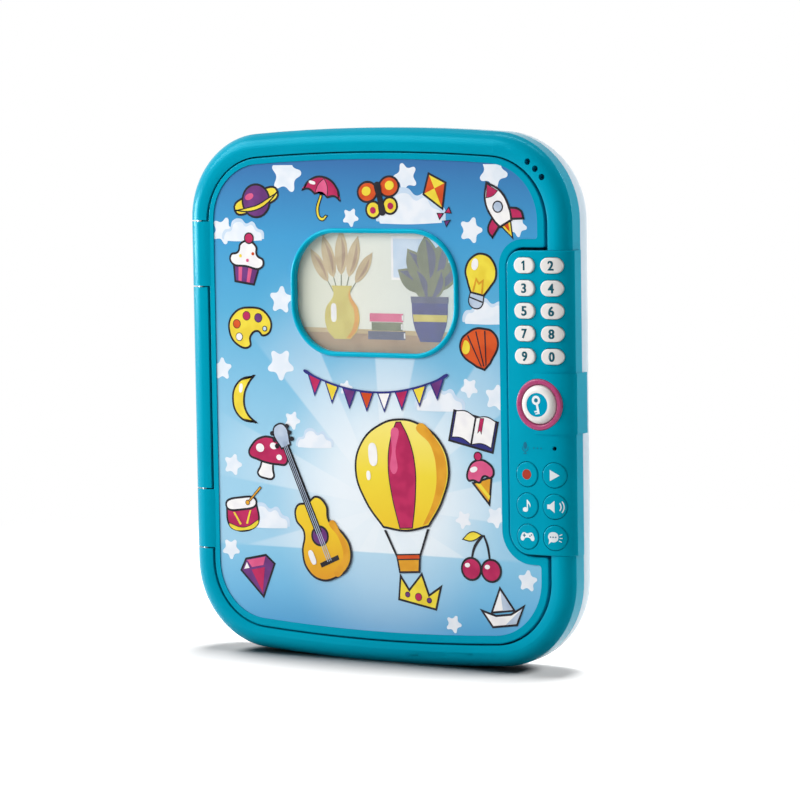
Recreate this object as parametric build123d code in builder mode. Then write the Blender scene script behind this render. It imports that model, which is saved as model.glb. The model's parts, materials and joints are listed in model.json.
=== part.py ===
from build123d import *
from math import cos, radians, sin
import os

os.makedirs("parts", exist_ok=True)

# Electronic secret diary, standing upright with its lid closed. Millimetres.
# X runs to the right, Y from the front (-) to the back (+) and Z up.
# The origin is in the middle of the foot, on the surface that the diary stands on.

# ---------------------------------------------------------------- driving dimensions
# Case
case_half = 102.5        # half the case's width
case_top = 245.4
case_bottom = -0.35      # lowest point of the bowed edge before it is cut flat at Z = 0
case_corner = 40.0
end_bow = 5.8            # bulge of the top and bottom edges over the full width
wall = 2.2

# Depths
lid_face = -14.0         # front face of the lid's border
seam = -3.8              # where the front frame meets the rear shell
back = 17.5              # flat back face
shell_edge = 20.5        # radius of the rear shell's big rounded edge
flange_back = seam + 2.0

# Rim of the front frame, measured inwards from the case's side and back from the lid's face
rim_side = 3.4           # depth of the crease between the rim and the side
rim_crown = -1.0         # the rim's crown stands proud of the lid
rim_crown_inset = 6.8
rim_inner_inset = 13.0
rim_inner_side = 0.3     # depth of the rim's inner edge behind the lid
crease_radius = 1.0

# Lid and the opening that it fills
opening_half = 91.9
opening_bottom = 9.6
opening_top = 234.7
opening_corner = 31.0
lid_gap = 1.2            # round the keypad
latch_gap = 1.8          # at the opening side
hinge_gap = 0.8          # at the hinge side
lid_end_gap = 0.6        # at the top and bottom
lid_thick = 5.0
lid_lip = 0.8            # thickness of the lid's front edge
lid_relief = 0.5         # step behind the lip at the hinge side and the top, so that the lid clears the rim as it turns
lid_back = lid_face + lid_thick
border = 3.7             # teal border around the print
border_trim = 0.8        # how much narrower it is at the hinge side and the top
print_front = lid_face + 0.5
print_back = lid_face + 0.9

# Keypad column on the right
panel_left = 71.3
panel_right = 103.6
panel_bottom = 54.4
panel_top = 190.3
panel_low_corner = 10.5
panel_high_corner = 7.5
panel_skin = 1.8
ledge = lid_face + 8.6   # the panel's seat on the frame
panel_arch = [(71.3, -1.6), (79.0, -2.2), (87.0, -2.35), (94.0, -2.0), (99.2, -0.7), (103.6, 3.0)]

# Clasp band across the keypad, and the lock light and unlock button in it
band_bottom = 108.7
band_top = 135.9
band_left = 85.0
band_right = 104.2
band_back = lid_face + 12.0
band_arch = [(85.0, -2.7), (90.0, -2.95), (95.0, -2.6), (99.8, -1.2), (104.2, 2.7)]
lock_x = 87.7
lock_z = 121.9
ring_outer = 11.6
ring_inner = 8.95
ring_front = lid_face - 3.0
unlock_radius = 8.75
badge_radius = 5.35
unlock_front = lid_face - 4.5

# Keys
key_columns = (81.0, 94.6)
number_top_row = 183.7
number_pitch = 10.1
number_size = (10.5, 7.0)
number_proud = 1.0
function_rows = (90.5, 76.5, 62.5)
function_radius = 5.6
function_proud = 0.35
key_clearance = 0.25
key_flange = 0.7         # how far the flange reaches past the key
flange_front = lid_face + 3.2
key_bottom = lid_face + 4.2
microphone_at = (94.9, 102.5)

# Electronics behind the keypad
membrane_front = lid_face + 5.6
membrane_back = lid_face + 6.6
board_front = lid_face + 6.9
board_back = lid_face + 8.5
panel_bosses = ((75.8, 105.5), (75.8, 136.2), (97.8, 136.0), (97.8, 109.5))

# Picture window in the lid
window_centre = (0.0, 170.0)
window_size = (90.2, 59.1)
window_corner = 24.0
bezel_front = lid_face - 0.9
bezel_width = 2.3
bezel_back = lid_face + 3.4
lens_inset = 1.8
lens_front = lid_face + 1.9
lens_thick = 1.0
card_front = lens_front + lens_thick + 0.15
card_back = card_front + 0.3

# Hinge down the left side
hinge_inset = 4.6        # from the case's side to the pin
hinge_x = -case_half + hinge_inset
hinge_y = lid_face + 3.2
knuckle_swing = 5.8      # reach of a knuckle's outer corner from the pin
knuckles = ((48.3, 75.8), (172.0, 202.3))
knuckle_gap = 0.6
pin_radius = 1.5
pin_clearance = 0.05
pin_overhang = 7.0

# Inner tray with the well for the notepad
well_left, well_right = -80.0, 58.0
well_bottom, well_top = 66.0, 231.0
well_corner = 9.5
well_floor = 4.2
tray_wall = 1.8
pad_left, pad_right = -77.0, 55.0
pad_bottom, pad_top = 70.0, 227.0
pad_front = -3.2
scoop_at = (58.0, 184.0)
scoop_radius = 10.5

# Latch
catch_x = (63.5, 66.5)
catch_z = (117.0, 127.0)
latch_z = 122.0
latch_y = 1.2
plunger_radius = 2.5
latch_nose = 68.0

# Foot and battery bay at the bottom of the rear shell
foot_half = 45.0         # at the floor; the foot widens upwards into the shell
foot_shoulder = 58.0
foot_top = 30.0
bay_half = 27.5
bay_bottom, bay_top = 8.5, 56.5
bay_front = -1.4
bay_floor = 0.0
bay_wall = 1.6
cell_radius = 7.25
cell_length = 49.5
cell_pitch = 15.6
cell_y = 7.6
door_margin = 3.0
door_gap = 0.3
door_screw_z = 64.0

# Screws
case_screws = ((-86.0, 60.0), (-86.0, 200.0), (-60.0, 28.0), (60.0, 28.0), (67.0, 150.0), (67.0, 222.0))
boss_meet = 6.0          # where the shell's bosses meet the tray's
screw_shoulder = 9.0
frame_screws = ((-45.0, 237.5), (45.0, 237.5), (-45.0, 6.4), (45.0, 6.4), (-97.2, 122.0), (97.2, 198.0), (97.2, 46.0))
lid_screws = ((-84.0, 40.0), (-84.0, 206.0), (62.0, 222.0), (62.0, 22.0), (0.0, 130.0))

# Speaker behind the tray, and its holes on the rim's top right corner
speaker_at = (80.0, 208.0)
speaker_radius = 13.0
rim_holes_centre = (62.5, 201.7)
rim_holes_radius = 34.2
rim_holes_angles = (38.0, 46.3, 54.6)


# ---------------------------------------------------------------- shared shapes
def at_depth(y):
    """Plane facing the front at depth y, where local x is X and local y is Z."""
    return Plane.XZ.offset(-y)


def slab(outline, front, rear, mode=Mode.ADD):
    """Extrude a flat outline between two depths in the part in hand."""
    extrude(at_depth(front) * outline, amount=front - rear, mode=mode)


def bowed_outline(half, bottom, top, corner):
    """Straight sides, gently bowed ends and round corners."""
    shoulder = end_bow * (half / case_half) ** 2
    with BuildSketch() as outline:
        with BuildLine():
            Line((-half, bottom + shoulder), (-half, top - shoulder))
            ThreePointArc((-half, top - shoulder), (0, top), (half, top - shoulder))
            Line((half, top - shoulder), (half, bottom + shoulder))
            ThreePointArc((half, bottom + shoulder), (0, bottom), (-half, bottom + shoulder))
        make_face()
        fillet(outline.vertices(), corner)
    return outline.sketch


def case_outline(inset=0.0):
    """The case seen from the front, drawn smaller by inset all round."""
    return bowed_outline(case_half - inset, case_bottom + inset, case_top - inset, case_corner - inset)


def opening_outline(inset=0.0):
    """The front frame's opening, drawn smaller by inset all round."""
    half = opening_half - inset
    return bowed_outline(half, opening_bottom + inset, opening_top - inset, opening_corner - inset)


def lid_outline(inset=0.0, trim=0.0):
    """The lid with its notch for the keypad, drawn smaller by inset all round but larger by trim at the hinge and the top."""
    notch_left = panel_left - lid_gap - inset
    notch_bottom = panel_bottom - lid_gap - inset
    notch_top = panel_top + lid_gap + inset
    edge = opening_half - latch_gap - inset
    hinge_edge = opening_half - hinge_gap - inset + trim
    with BuildSketch() as outline:
        with Locations(((edge - hinge_edge) / 2, 0)):
            add(bowed_outline((edge + hinge_edge) / 2, opening_bottom + lid_end_gap + inset,
                              opening_top - lid_end_gap - inset + trim, opening_corner - lid_gap - inset))
        with Locations((notch_left, notch_bottom)):
            Rectangle(case_half, notch_top - notch_bottom, align=(Align.MIN, Align.MIN), mode=Mode.SUBTRACT)
        for place, radius in ((notch_bottom, panel_low_corner), (notch_top, panel_high_corner)):
            fillet(outline.vertices().sort_by_distance((notch_left, place, 0))[0], radius + lid_gap + inset)
        fillet(outline.vertices().filter_by_position(Axis.X, edge - 0.1, edge + 0.1).filter_by(
            lambda corner: notch_bottom - 0.1 < corner.Y < notch_top + 0.1), 1.5)
    return outline.sketch


def window_outline(inset=0.0):
    """The picture window, drawn smaller by inset all round."""
    with BuildSketch() as outline:
        with Locations(window_centre):
            RectangleRounded(window_size[0] - 2 * inset, window_size[1] - 2 * inset, window_corner - inset)
    return outline.sketch


def block(left, right, bottom, top, corner=0.0):
    """An upright rectangle, with round corners where a radius is given."""
    with BuildSketch() as outline:
        with Locations(((left + right) / 2, (bottom + top) / 2)):
            if corner:
                RectangleRounded(right - left, top - bottom, corner)
            else:
                Rectangle(right - left, top - bottom)
    return outline.sketch


def discs(points, radius):
    """A round spot at each point."""
    with BuildSketch() as spots:
        with Locations(*points):
            Circle(radius)
    return spots.sketch


def crosses(points, length, width=0.7):
    """A screwdriver's cross at each point."""
    with BuildSketch() as slots:
        with Locations(*points):
            Rectangle(length, width)
            Rectangle(width, length)
    return slots.sketch


def arched_blank(arch, right, lift, low, high):
    """The keypad's arched body between two heights, its skin raised by lift."""
    with BuildPart() as blank:
        with BuildSketch(Plane.XY.offset(low)):
            with BuildLine():
                skin = Spline(*[(x, lid_face + depth - lift) for x, depth in arch])
                Polyline(skin @ 1, (right, ledge), (opening_half, ledge), (opening_half, seam),
                         (arch[0][0], seam), skin @ 0)
            make_face()
        extrude(amount=high - low)
    return blank.part


def save(part, name):
    """Label a finished piece and write it out."""
    part.label = name
    export_step(part, f"parts/{name}.step")


# ---------------------------------------------------------------- front frame
rim_path = (at_depth(seam) * case_outline()).wire()
rim_plane = Plane(rim_path @ 0, x_dir=(0, 1, 0), z_dir=rim_path % 0)   # local y points out of the case
rim_depth = lid_face - seam


def rim_outline():
    """The rim's section: local x runs back from the seam and local y points out of the case."""
    crease = (rim_depth + rim_side, 0)
    crown = (rim_depth + rim_crown, -rim_crown_inset)
    inner = (rim_depth + rim_inner_side, -rim_inner_inset)
    with BuildSketch() as section:
        with BuildLine():
            Line((0, 0), crease)
            TangentArc(crown, crease, tangent=(0, 1))
            TangentArc(crown, inner, tangent=(0, -1))
            Polyline(inner, (0, -rim_inner_inset), (0, 0))
        make_face()
        fillet(section.vertices().sort_by_distance((*crease, 0))[0], crease_radius)
    return section.sketch


with BuildPart() as rim_channel:
    with BuildSketch(rim_plane):
        with BuildLine():
            Polyline((0, -wall), (rim_depth + rim_side + 1.0, -wall), (rim_depth + 1.9, -4.6),
                     (rim_depth + 1.4, -7.2), (0, -7.2), close=True)
        make_face()
    sweep(path=rim_path)
    slab(block(-case_half, -80, 30, 214), lid_face, seam, mode=Mode.SUBTRACT)

knuckle_slots = [(low - knuckle_gap, high + knuckle_gap) for low, high in knuckles]
rim_holes = [(rim_holes_centre[0] + rim_holes_radius * cos(radians(a)),
              rim_holes_centre[1] + rim_holes_radius * sin(radians(a))) for a in rim_holes_angles]

with BuildPart() as front_frame:
    with BuildSketch(rim_plane):
        add(rim_outline())
    sweep(path=rim_path)
    slab(opening_outline(), lid_face - 5, seam, mode=Mode.SUBTRACT)
    add(rim_channel.part, mode=Mode.SUBTRACT)
    slab(discs(frame_screws, 3.3), lid_face + 2.6, seam)
    slab(opening_outline(), lid_face - 5, seam, mode=Mode.SUBTRACT)
    slab(discs(frame_screws, 1.0), lid_face + 3.4, seam, mode=Mode.SUBTRACT)
    slab(discs(rim_holes, 1.45), lid_face - 5, lid_face + 3.4, mode=Mode.SUBTRACT)
    slab(block(85, 110, panel_bottom - 0.1, panel_top + 0.1), lid_face - 5, ledge, mode=Mode.SUBTRACT)
    for low, high in knuckle_slots:
        slab(block(-110, -opening_half + 1, low, high), lid_face - 5,
             hinge_y + knuckle_swing + 0.4, mode=Mode.SUBTRACT)
    for low, high in knuckles:
        with Locations((hinge_x, hinge_y, (low + high) / 2)):
            Cylinder(pin_radius, high - low + 2 * pin_overhang, mode=Mode.SUBTRACT)
    split(bisect_by=Plane.XY, keep=Keep.TOP)
save(front_frame.part, "front_frame")

# ---------------------------------------------------------------- rear shell
def foot_outline(inset):
    """The foot from the front, spreading upwards from the floor."""
    with BuildSketch() as outline:
        with BuildLine():
            Polyline((-foot_half + inset, inset), (foot_half - inset, inset),
                     (foot_shoulder - inset, foot_top), (-foot_shoulder + inset, foot_top), close=True)
        make_face()
    return outline.sketch


with BuildPart() as foot:
    slab(foot_outline(0), seam, back)
    sides = foot.faces().filter_by(Axis.Y, reverse=True).filter_by(Axis.Z, reverse=True)
    fillet([edge for side in sides for edge in side.edges() if edge.center().Y > back - 0.1], 6.0)
    fillet(foot.faces().sort_by(Axis.Z)[0].edges().sort_by(Axis.Y)[-1], 1.5)

with BuildPart() as shell_cavity:
    slab(case_outline(wall), seam, back - wall)
    fillet(shell_cavity.faces().sort_by(Axis.Y)[-1].edges(), shell_edge - wall)
    slab(foot_outline(wall), seam, back - wall)

door_seat = back - wall
with BuildPart() as rear_shell:
    slab(case_outline(), seam, back)
    fillet(rear_shell.faces().sort_by(Axis.Y)[-1].edges(), shell_edge)
    add(foot.part)
    add(shell_cavity.part, mode=Mode.SUBTRACT)
    slab(block(-bay_half - bay_wall, bay_half + bay_wall, bay_bottom - bay_wall, bay_top + bay_wall),
         bay_front, door_seat)
    slab(block(-bay_half - 5, bay_half + 5, bay_bottom - 5, bay_top + 5, 3.0), door_seat - bay_wall, door_seat)
    slab(block(-9, 9, bay_top, door_screw_z + 7, 3.0), door_seat - bay_wall, door_seat)
    slab(discs(case_screws, 4.0), boss_meet, door_seat)
    slab(discs([(0, door_screw_z)], 3.6), boss_meet, door_seat)
    slab(block(-bay_half, bay_half, bay_bottom, bay_top), bay_floor, back, mode=Mode.SUBTRACT)
    slab(block(-bay_half - door_margin, bay_half + door_margin, bay_bottom - door_margin, bay_top + door_margin, 2.0),
         door_seat, back, mode=Mode.SUBTRACT)
    slab(block(-7, 7, bay_top, door_screw_z + 5, 2.0), door_seat, back, mode=Mode.SUBTRACT)
    slab(discs(case_screws, 1.6), boss_meet, back, mode=Mode.SUBTRACT)
    slab(discs(case_screws, 3.1), screw_shoulder, back, mode=Mode.SUBTRACT)
    slab(discs([(0, door_screw_z)], 1.25), boss_meet + 1.5, back, mode=Mode.SUBTRACT)
    split(bisect_by=Plane.XY, keep=Keep.TOP)
save(rear_shell.part, "rear_shell")

# ---------------------------------------------------------------- inner tray
with BuildPart() as inner_tray:
    slab(case_outline(wall + 0.3), seam, flange_back)
    slab(block(well_left - tray_wall, well_right + tray_wall, well_bottom - tray_wall, well_top + tray_wall,
               well_corner + tray_wall), seam, well_floor + tray_wall)
    slab(discs([scoop_at], scoop_radius + tray_wall), seam, well_floor + tray_wall)
    slab(block(well_left, well_right, well_bottom, well_top, well_corner), seam - 1, well_floor, mode=Mode.SUBTRACT)
    slab(discs([scoop_at], scoop_radius), seam - 1, well_floor, mode=Mode.SUBTRACT)
    slab(discs(case_screws, 3.4), flange_back, boss_meet)
    slab(discs(case_screws, 1.4), seam + 1.0, boss_meet, mode=Mode.SUBTRACT)
    slab(discs(frame_screws, 1.15), seam, flange_back, mode=Mode.SUBTRACT)
    slab(discs(panel_bosses, 1.15), seam, flange_back, mode=Mode.SUBTRACT)
    slab(block(catch_x[0] - 1.5, catch_x[1] + 1.2, catch_z[0] - 2, catch_z[1] + 2, 1.0), seam, flange_back,
         mode=Mode.SUBTRACT)
    for z in (latch_z - 3.6, latch_z + 3.6):              # guides either side of the latch slider
        slab(block(69.5, 73.5, z - 0.8, z + 0.8), flange_back, latch_y + 1.6)
    slab(discs([(76, 70), (98, 70), (76, 176), (98, 176)], 1.8), board_back, seam)
    slab(discs(rim_holes, 1.6), seam, flange_back, mode=Mode.SUBTRACT)
    with BuildSketch(at_depth(seam)):
        with Locations(speaker_at):
            with PolarLocations(5.5, 6):
                Circle(1.5)
            Circle(1.5)
    extrude(amount=seam - flange_back, mode=Mode.SUBTRACT)
save(inner_tray.part, "inner_tray")

# ---------------------------------------------------------------- keypad panel
panel_body = arched_blank(panel_arch, panel_right, 0, panel_bottom, panel_top)
key_cavity = arched_blank(panel_arch, panel_right, -panel_skin, panel_bottom - 5, panel_top + 5)
number_spots = [(key_columns[i % 2], number_top_row - number_pitch * (i // 2)) for i in range(10)]
function_spots = [(x, z) for z in function_rows for x in key_columns]

with BuildPart() as keypad_cavity:
    add(key_cavity)
    slab(block(panel_left + panel_skin, panel_right - panel_skin, panel_bottom + panel_skin,
               panel_top - panel_skin, panel_high_corner - panel_skin), lid_face - 5, seam + 1, mode=Mode.INTERSECT)
    slab(discs(panel_bosses, 2.2), lid_face - 5, seam + 1, mode=Mode.SUBTRACT)


def number_outline(growth):
    """A number key's stadium, larger by growth all round."""
    with BuildSketch() as outline:
        SlotOverall(number_size[0] + 2 * growth, number_size[1] + 2 * growth)
    return outline.sketch


def function_outline(growth):
    """A function key's round outline, larger by growth all round."""
    with BuildSketch() as outline:
        Circle(function_radius + growth)
    return outline.sketch


with BuildPart() as keypad_panel:
    add(panel_body)
    fillet(keypad_panel.edges().filter_by(Axis.Y).group_by(Axis.X)[0].sort_by(Axis.Z)[0], panel_low_corner)
    fillet(keypad_panel.edges().filter_by(Axis.Y).group_by(Axis.X)[0].sort_by(Axis.Z)[-1], panel_high_corner)
    fillet(keypad_panel.faces().sort_by(Axis.Y)[0].edges(), 0.5)
    add(keypad_cavity.part, mode=Mode.SUBTRACT)
    slab(discs(panel_bosses, 1.0), lid_face + 3.0, seam, mode=Mode.SUBTRACT)
    for spot in number_spots:
        slab(Pos(*spot) * number_outline(key_clearance), lid_face - 6, flange_front, mode=Mode.SUBTRACT)
    for spot in function_spots:
        slab(Pos(*spot) * function_outline(key_clearance), lid_face - 6, flange_front, mode=Mode.SUBTRACT)
    slab(discs([(lock_x, lock_z)], ring_outer), lid_face - 6, flange_front, mode=Mode.SUBTRACT)
    slab(discs([microphone_at], 1.0), lid_face - 6, lid_face + 2, mode=Mode.SUBTRACT)
save(keypad_panel.part, "keypad_panel")

# ---------------------------------------------------------------- clasp band
with BuildPart() as clasp_band:
    with BuildSketch(Plane.XY.offset(band_bottom)):
        with BuildLine():
            crest = Spline(*[(x, lid_face + depth) for x, depth in band_arch])
            Polyline(crest @ 1, (band_right, band_back), (case_half + 0.1, band_back),
                     (case_half + 0.1, ledge), (band_left, ledge), crest @ 0)
        make_face()
    extrude(amount=band_top - band_bottom)
    add(panel_body, mode=Mode.SUBTRACT)
    slab(discs([(lock_x, lock_z)], ring_outer), lid_face - 6, ledge, mode=Mode.SUBTRACT)
save(clasp_band.part, "clasp_band")

# ---------------------------------------------------------------- lock light and unlock button
lock_at = [(lock_x, lock_z)]
with BuildPart() as light_ring:
    slab(discs(lock_at, ring_outer), ring_front, lid_face + 3.0)
    slab(discs(lock_at, ring_inner), ring_front, lid_face + 3.0, mode=Mode.SUBTRACT)
    fillet(light_ring.faces().sort_by(Axis.Y)[0].edges(), 0.9)
    slab(discs(lock_at, ring_outer + 1.2), lid_face + 2.6, lid_face + 3.6)
    slab(discs(lock_at, ring_inner), lid_face + 2.6, lid_face + 3.6, mode=Mode.SUBTRACT)
save(light_ring.part, "light_ring")

with BuildPart() as unlock_button:
    slab(discs(lock_at, unlock_radius), unlock_front, lid_face + 3.5)
    fillet(unlock_button.faces().sort_by(Axis.Y)[0].edges(), 2.8)
    slab(discs(lock_at, badge_radius), unlock_front, unlock_front + 0.5, mode=Mode.SUBTRACT)
save(unlock_button.part, "unlock_button")

with BuildPart() as unlock_badge:
    slab(discs(lock_at, badge_radius), unlock_front + 0.1, unlock_front + 0.5)
save(unlock_badge.part, "unlock_badge")


# ---------------------------------------------------------------- keys
def make_key(spot, outline, proud):
    """A key with a crowned top that follows the keypad's arch, on a retaining flange."""
    top = arched_blank(panel_arch, panel_right, proud, spot[1] - 8, spot[1] + 8)
    with BuildPart() as key:
        slab(Pos(*spot) * outline(0), lid_face - 6, key_bottom)
        add(top, mode=Mode.INTERSECT)
        fillet(key.faces().sort_by(Axis.Y)[0].edges(), 0.6)
        slab(Pos(*spot) * outline(key_flange), flange_front + 0.1, key_bottom)
    return key.part


for digit, spot in zip("1234567890", number_spots):
    save(make_key(spot, number_outline, number_proud), f"key_{digit}")
for use, spot in zip(("record", "play", "music", "volume", "game", "voice"), function_spots):
    save(make_key(spot, function_outline, function_proud), f"{use}_key")

# ---------------------------------------------------------------- key membrane and boards
board_area = block(panel_left + 2.3, panel_right - 3.2, panel_bottom + 2.2, panel_top - 2.2, 5.0)

with BuildPart() as key_membrane:
    slab(board_area, membrane_front, membrane_back)
    slab(discs(lock_at, ring_outer + 1.4), membrane_front, membrane_back, mode=Mode.SUBTRACT)
    slab(discs(panel_bosses, 2.5), membrane_front, membrane_back, mode=Mode.SUBTRACT)
    slab(discs([microphone_at], 3.3), membrane_front, membrane_back, mode=Mode.SUBTRACT)
save(key_membrane.part, "key_membrane")

with BuildPart() as keypad_board:
    slab(board_area, board_front, board_back)
    slab(discs(panel_bosses, 2.5), board_front, board_back, mode=Mode.SUBTRACT)
save(keypad_board.part, "keypad_board")

with BuildPart() as ring_leds:
    with BuildSketch(at_depth(board_front)):
        with Locations((lock_x, lock_z)):
            with PolarLocations(10.3, 6):
                Rectangle(2.4, 2.0)
    extrude(amount=1.2)
save(ring_leds.part, "ring_leds")

with BuildPart() as unlock_switch:
    slab(block(lock_x - 3, lock_x + 3, lock_z - 3, lock_z + 3, 0.4), lid_face + 5.2, board_front)
    slab(discs(lock_at, 1.7), lid_face + 4.7, lid_face + 5.2)
save(unlock_switch.part, "unlock_switch")

with BuildPart() as microphone:
    slab(discs([microphone_at], 3.0), lid_face + 3.8, board_front)
    fillet(microphone.faces().sort_by(Axis.Y)[0].edges(), 0.4)
save(microphone.part, "microphone")

with BuildPart() as main_board:
    slab(block(64, 98, 66, 106, 1.5), 1.0, 2.6)
    slab(block(76, 88, 80, 92), 2.6, 4.6)
    slab(discs([(70, 74), (70, 84)], 2.6), 2.6, 9.0)
    slab(block(91, 96, 74, 96), 2.6, 7.4)
    slab(discs([(67, 69), (95, 69), (67, 103), (95, 103)], 2.0), flange_back, 1.0)
save(main_board.part, "main_board")

# ---------------------------------------------------------------- speaker
with BuildPart() as speaker:
    with BuildSketch(Plane.YZ):
        with BuildLine():
            Polyline((flange_back, 0), (flange_back, speaker_radius), (flange_back + 1.2, speaker_radius),
                     (flange_back + 3.6, 8.6), (flange_back + 4.4, 8.6), (flange_back + 8.4, 8.6),
                     (flange_back + 8.4, 0), close=True)
        make_face()
    revolve(axis=Axis.Y)
speaker_placed = Pos(speaker_at[0], 0, speaker_at[1]) * speaker.part
save(speaker_placed, "speaker")

# ---------------------------------------------------------------- lid
def knuckle(low, high):
    """A hinge knuckle: a stretch of the rim's own section, trimmed so that it turns about the pin."""
    reach = lid_left + lid_relief + 1 - hinge_x
    with BuildPart() as body:
        with BuildSketch(Plane((-case_half, seam, low), x_dir=(0, 1, 0), z_dir=(0, 0, 1))):
            add(rim_outline())
        extrude(amount=high - low)
        with BuildSketch(Plane.XY.offset(low)):
            with Locations((hinge_x, hinge_y)):
                Circle(knuckle_swing)
            with Locations((hinge_x, lid_face + 4.8)):
                Rectangle(reach, 8, align=(Align.MIN, Align.MAX))
        extrude(amount=high - low, mode=Mode.INTERSECT)
    return body.part


lid_left = -opening_half + hinge_gap
with BuildPart() as lid_frame:
    slab(lid_outline(), lid_face, lid_face + lid_lip)
    fillet(lid_frame.faces().sort_by(Axis.Y)[0].edges(), 0.6)
    slab(lid_outline(0, -lid_relief), lid_face + lid_lip, lid_back)
    slab(lid_outline(border, border_trim), lid_face - 1, print_back, mode=Mode.SUBTRACT)
    slab(lid_outline(2.0), lid_face + 2.6, lid_back, mode=Mode.SUBTRACT)
    slab(window_outline(1.15), lid_face - 1, lid_back, mode=Mode.SUBTRACT)
    slab(discs(lid_screws, 2.6), lid_face + 2.6, lid_back - 1.2)
    for low, high in knuckles:
        add(knuckle(low, high))
        with Locations((hinge_x, hinge_y, (low + high) / 2)):
            Cylinder(pin_radius + pin_clearance, high - low, mode=Mode.SUBTRACT)
    slab(discs(lid_screws, 0.9), lid_face + 1.7, lid_back - 1.2, mode=Mode.SUBTRACT)
save(lid_frame.part, "lid_frame")

with BuildPart() as cover_print:
    slab(lid_outline(border + 0.05, border_trim), print_front, print_back)
    slab(window_outline(1.1), print_front, print_back, mode=Mode.SUBTRACT)
save(cover_print.part, "cover_print")

with BuildPart() as window_bezel:
    slab(window_outline(), bezel_front, print_front)
    slab(window_outline(bezel_width), bezel_front, print_front, mode=Mode.SUBTRACT)
    fillet(window_bezel.faces().sort_by(Axis.Y)[0].edges(), 1.05)
    slab(window_outline(1.2), print_front, bezel_back)
    slab(window_outline(bezel_width), print_front, bezel_back, mode=Mode.SUBTRACT)
    slab(window_outline(lens_inset - 0.05), lens_front, bezel_back, mode=Mode.SUBTRACT)
save(window_bezel.part, "window_bezel")

with BuildPart() as window_lens:
    slab(window_outline(lens_inset), lens_front, lens_front + lens_thick)
save(window_lens.part, "window_lens")

with BuildPart() as picture_card:
    slab(window_outline(lens_inset), card_front, card_back)
save(picture_card.part, "picture_card")

picture_area = (-48.0, 48.0, 138.0, 202.0)
with BuildPart() as lid_back_panel:
    slab(lid_outline(2.1), lid_back - 1.2, lid_back)
    slab(block(*picture_area, 6.0), lid_back - 1.2, lid_back, mode=Mode.SUBTRACT)
    slab(discs(lid_screws, 1.1), lid_back - 1.2, lid_back, mode=Mode.SUBTRACT)
save(lid_back_panel.part, "lid_back_panel")

with BuildPart() as picture_door:
    left, right, bottom, top = picture_area
    slab(block(left + 0.25, right - 0.25, bottom + 0.25, top - 0.25, 5.75), lid_back - 1.2, lid_back)
    slab(window_outline(3.0), card_back, lid_back - 1.2)
    slab(block(-8, 8, top - 7, top - 3, 1.9), lid_back - 0.5, lid_back, mode=Mode.SUBTRACT)
save(picture_door.part, "picture_door")

with BuildPart() as lid_catch:
    slab(block(catch_x[0] - 3, catch_x[1] + 2.5, catch_z[0] - 5, catch_z[1] + 5, 1.5), lid_back, lid_back + 1.4)
    slab(block(*catch_x, *catch_z), lid_back + 1.4, latch_y + 4.0)
    slab(block(*catch_x, latch_z - 3.0, latch_z + 3.0), latch_y - 2.4, latch_y + 2.4, mode=Mode.SUBTRACT)
save(lid_catch.part, "lid_catch")

with BuildPart() as lid_screw_set:
    slab(discs(lid_screws, 0.9), lid_face + 1.7, lid_back)
    slab(discs(lid_screws, 1.9), lid_back, lid_back + 0.9)
    slab(crosses(lid_screws, 2.2, 0.55), lid_back + 0.35, lid_back + 0.9, mode=Mode.SUBTRACT)
save(lid_screw_set.part, "lid_screws")

# ---------------------------------------------------------------- hinge pins
with BuildPart() as hinge_pins:
    for low, high in knuckles:
        with Locations((hinge_x, hinge_y, (low + high) / 2)):
            Cylinder(pin_radius, high - low + 2 * pin_overhang)
save(hinge_pins.part, "hinge_pins")

# ---------------------------------------------------------------- latch
with BuildPart() as latch_slider:
    slab(block(latch_nose, 76, latch_z - 2.2, latch_z + 2.2), latch_y - 1.5, latch_y + 1.5)
    chamfer(latch_slider.faces().sort_by(Axis.X)[0].edges(), 0.5)
    with BuildSketch(Plane.YZ.offset(74)):
        with Locations((latch_y, latch_z)):
            Circle(plunger_radius)
    extrude(amount=18)
save(latch_slider.part, "latch_slider")

with BuildPart() as latch_solenoid:
    slab(block(77, 94, latch_z - 9, latch_z + 9, 1.0), flange_back, latch_y + 6)
    with BuildSketch(Plane.YZ.offset(77)):
        with Locations((latch_y, latch_z)):
            Circle(plunger_radius + 0.1)
    extrude(amount=16, mode=Mode.SUBTRACT)
save(latch_solenoid.part, "latch_solenoid")

# ---------------------------------------------------------------- notepad
with BuildPart() as notepad_pages:
    slab(block(pad_left, pad_right, pad_bottom, pad_top, 3.0), pad_front, well_floor - 0.6)
save(notepad_pages.part, "notepad_pages")

with BuildPart() as notepad_backing:
    slab(block(pad_left, pad_right, pad_bottom, pad_top, 3.0), well_floor - 0.6, well_floor)
save(notepad_backing.part, "notepad_backing")

# ---------------------------------------------------------------- batteries
cell_heights = [(bay_bottom + bay_top) / 2 + cell_pitch * i for i in (-1, 0, 1)]
with BuildPart() as battery_cells:
    for turn, z in zip((1, -1, 1), cell_heights):
        with BuildSketch(Plane.YZ.offset(-turn * cell_length / 2)):
            with Locations((cell_y, z)):
                Circle(cell_radius)
        extrude(amount=turn * cell_length)
        with BuildSketch(Plane.YZ.offset(turn * cell_length / 2)):
            with Locations((cell_y, z)):
                Circle(2.7)
        extrude(amount=turn * 1.0)
save(battery_cells.part, "battery_cells")

with BuildPart() as battery_contacts:
    for turn, z in zip((1, -1, 1), cell_heights):
        with BuildSketch(Plane.YZ.offset(turn * bay_half)):
            with Locations((cell_y, z)):
                Circle(5.0)
        extrude(amount=turn * (cell_length / 2 + 1.0 - bay_half))
        with BuildSketch(Plane.YZ.offset(-turn * bay_half)):
            with Locations((cell_y, z)):
                Circle(5.0)
        extrude(amount=turn * (bay_half - cell_length / 2), taper=25)
save(battery_contacts.part, "battery_contacts")

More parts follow.
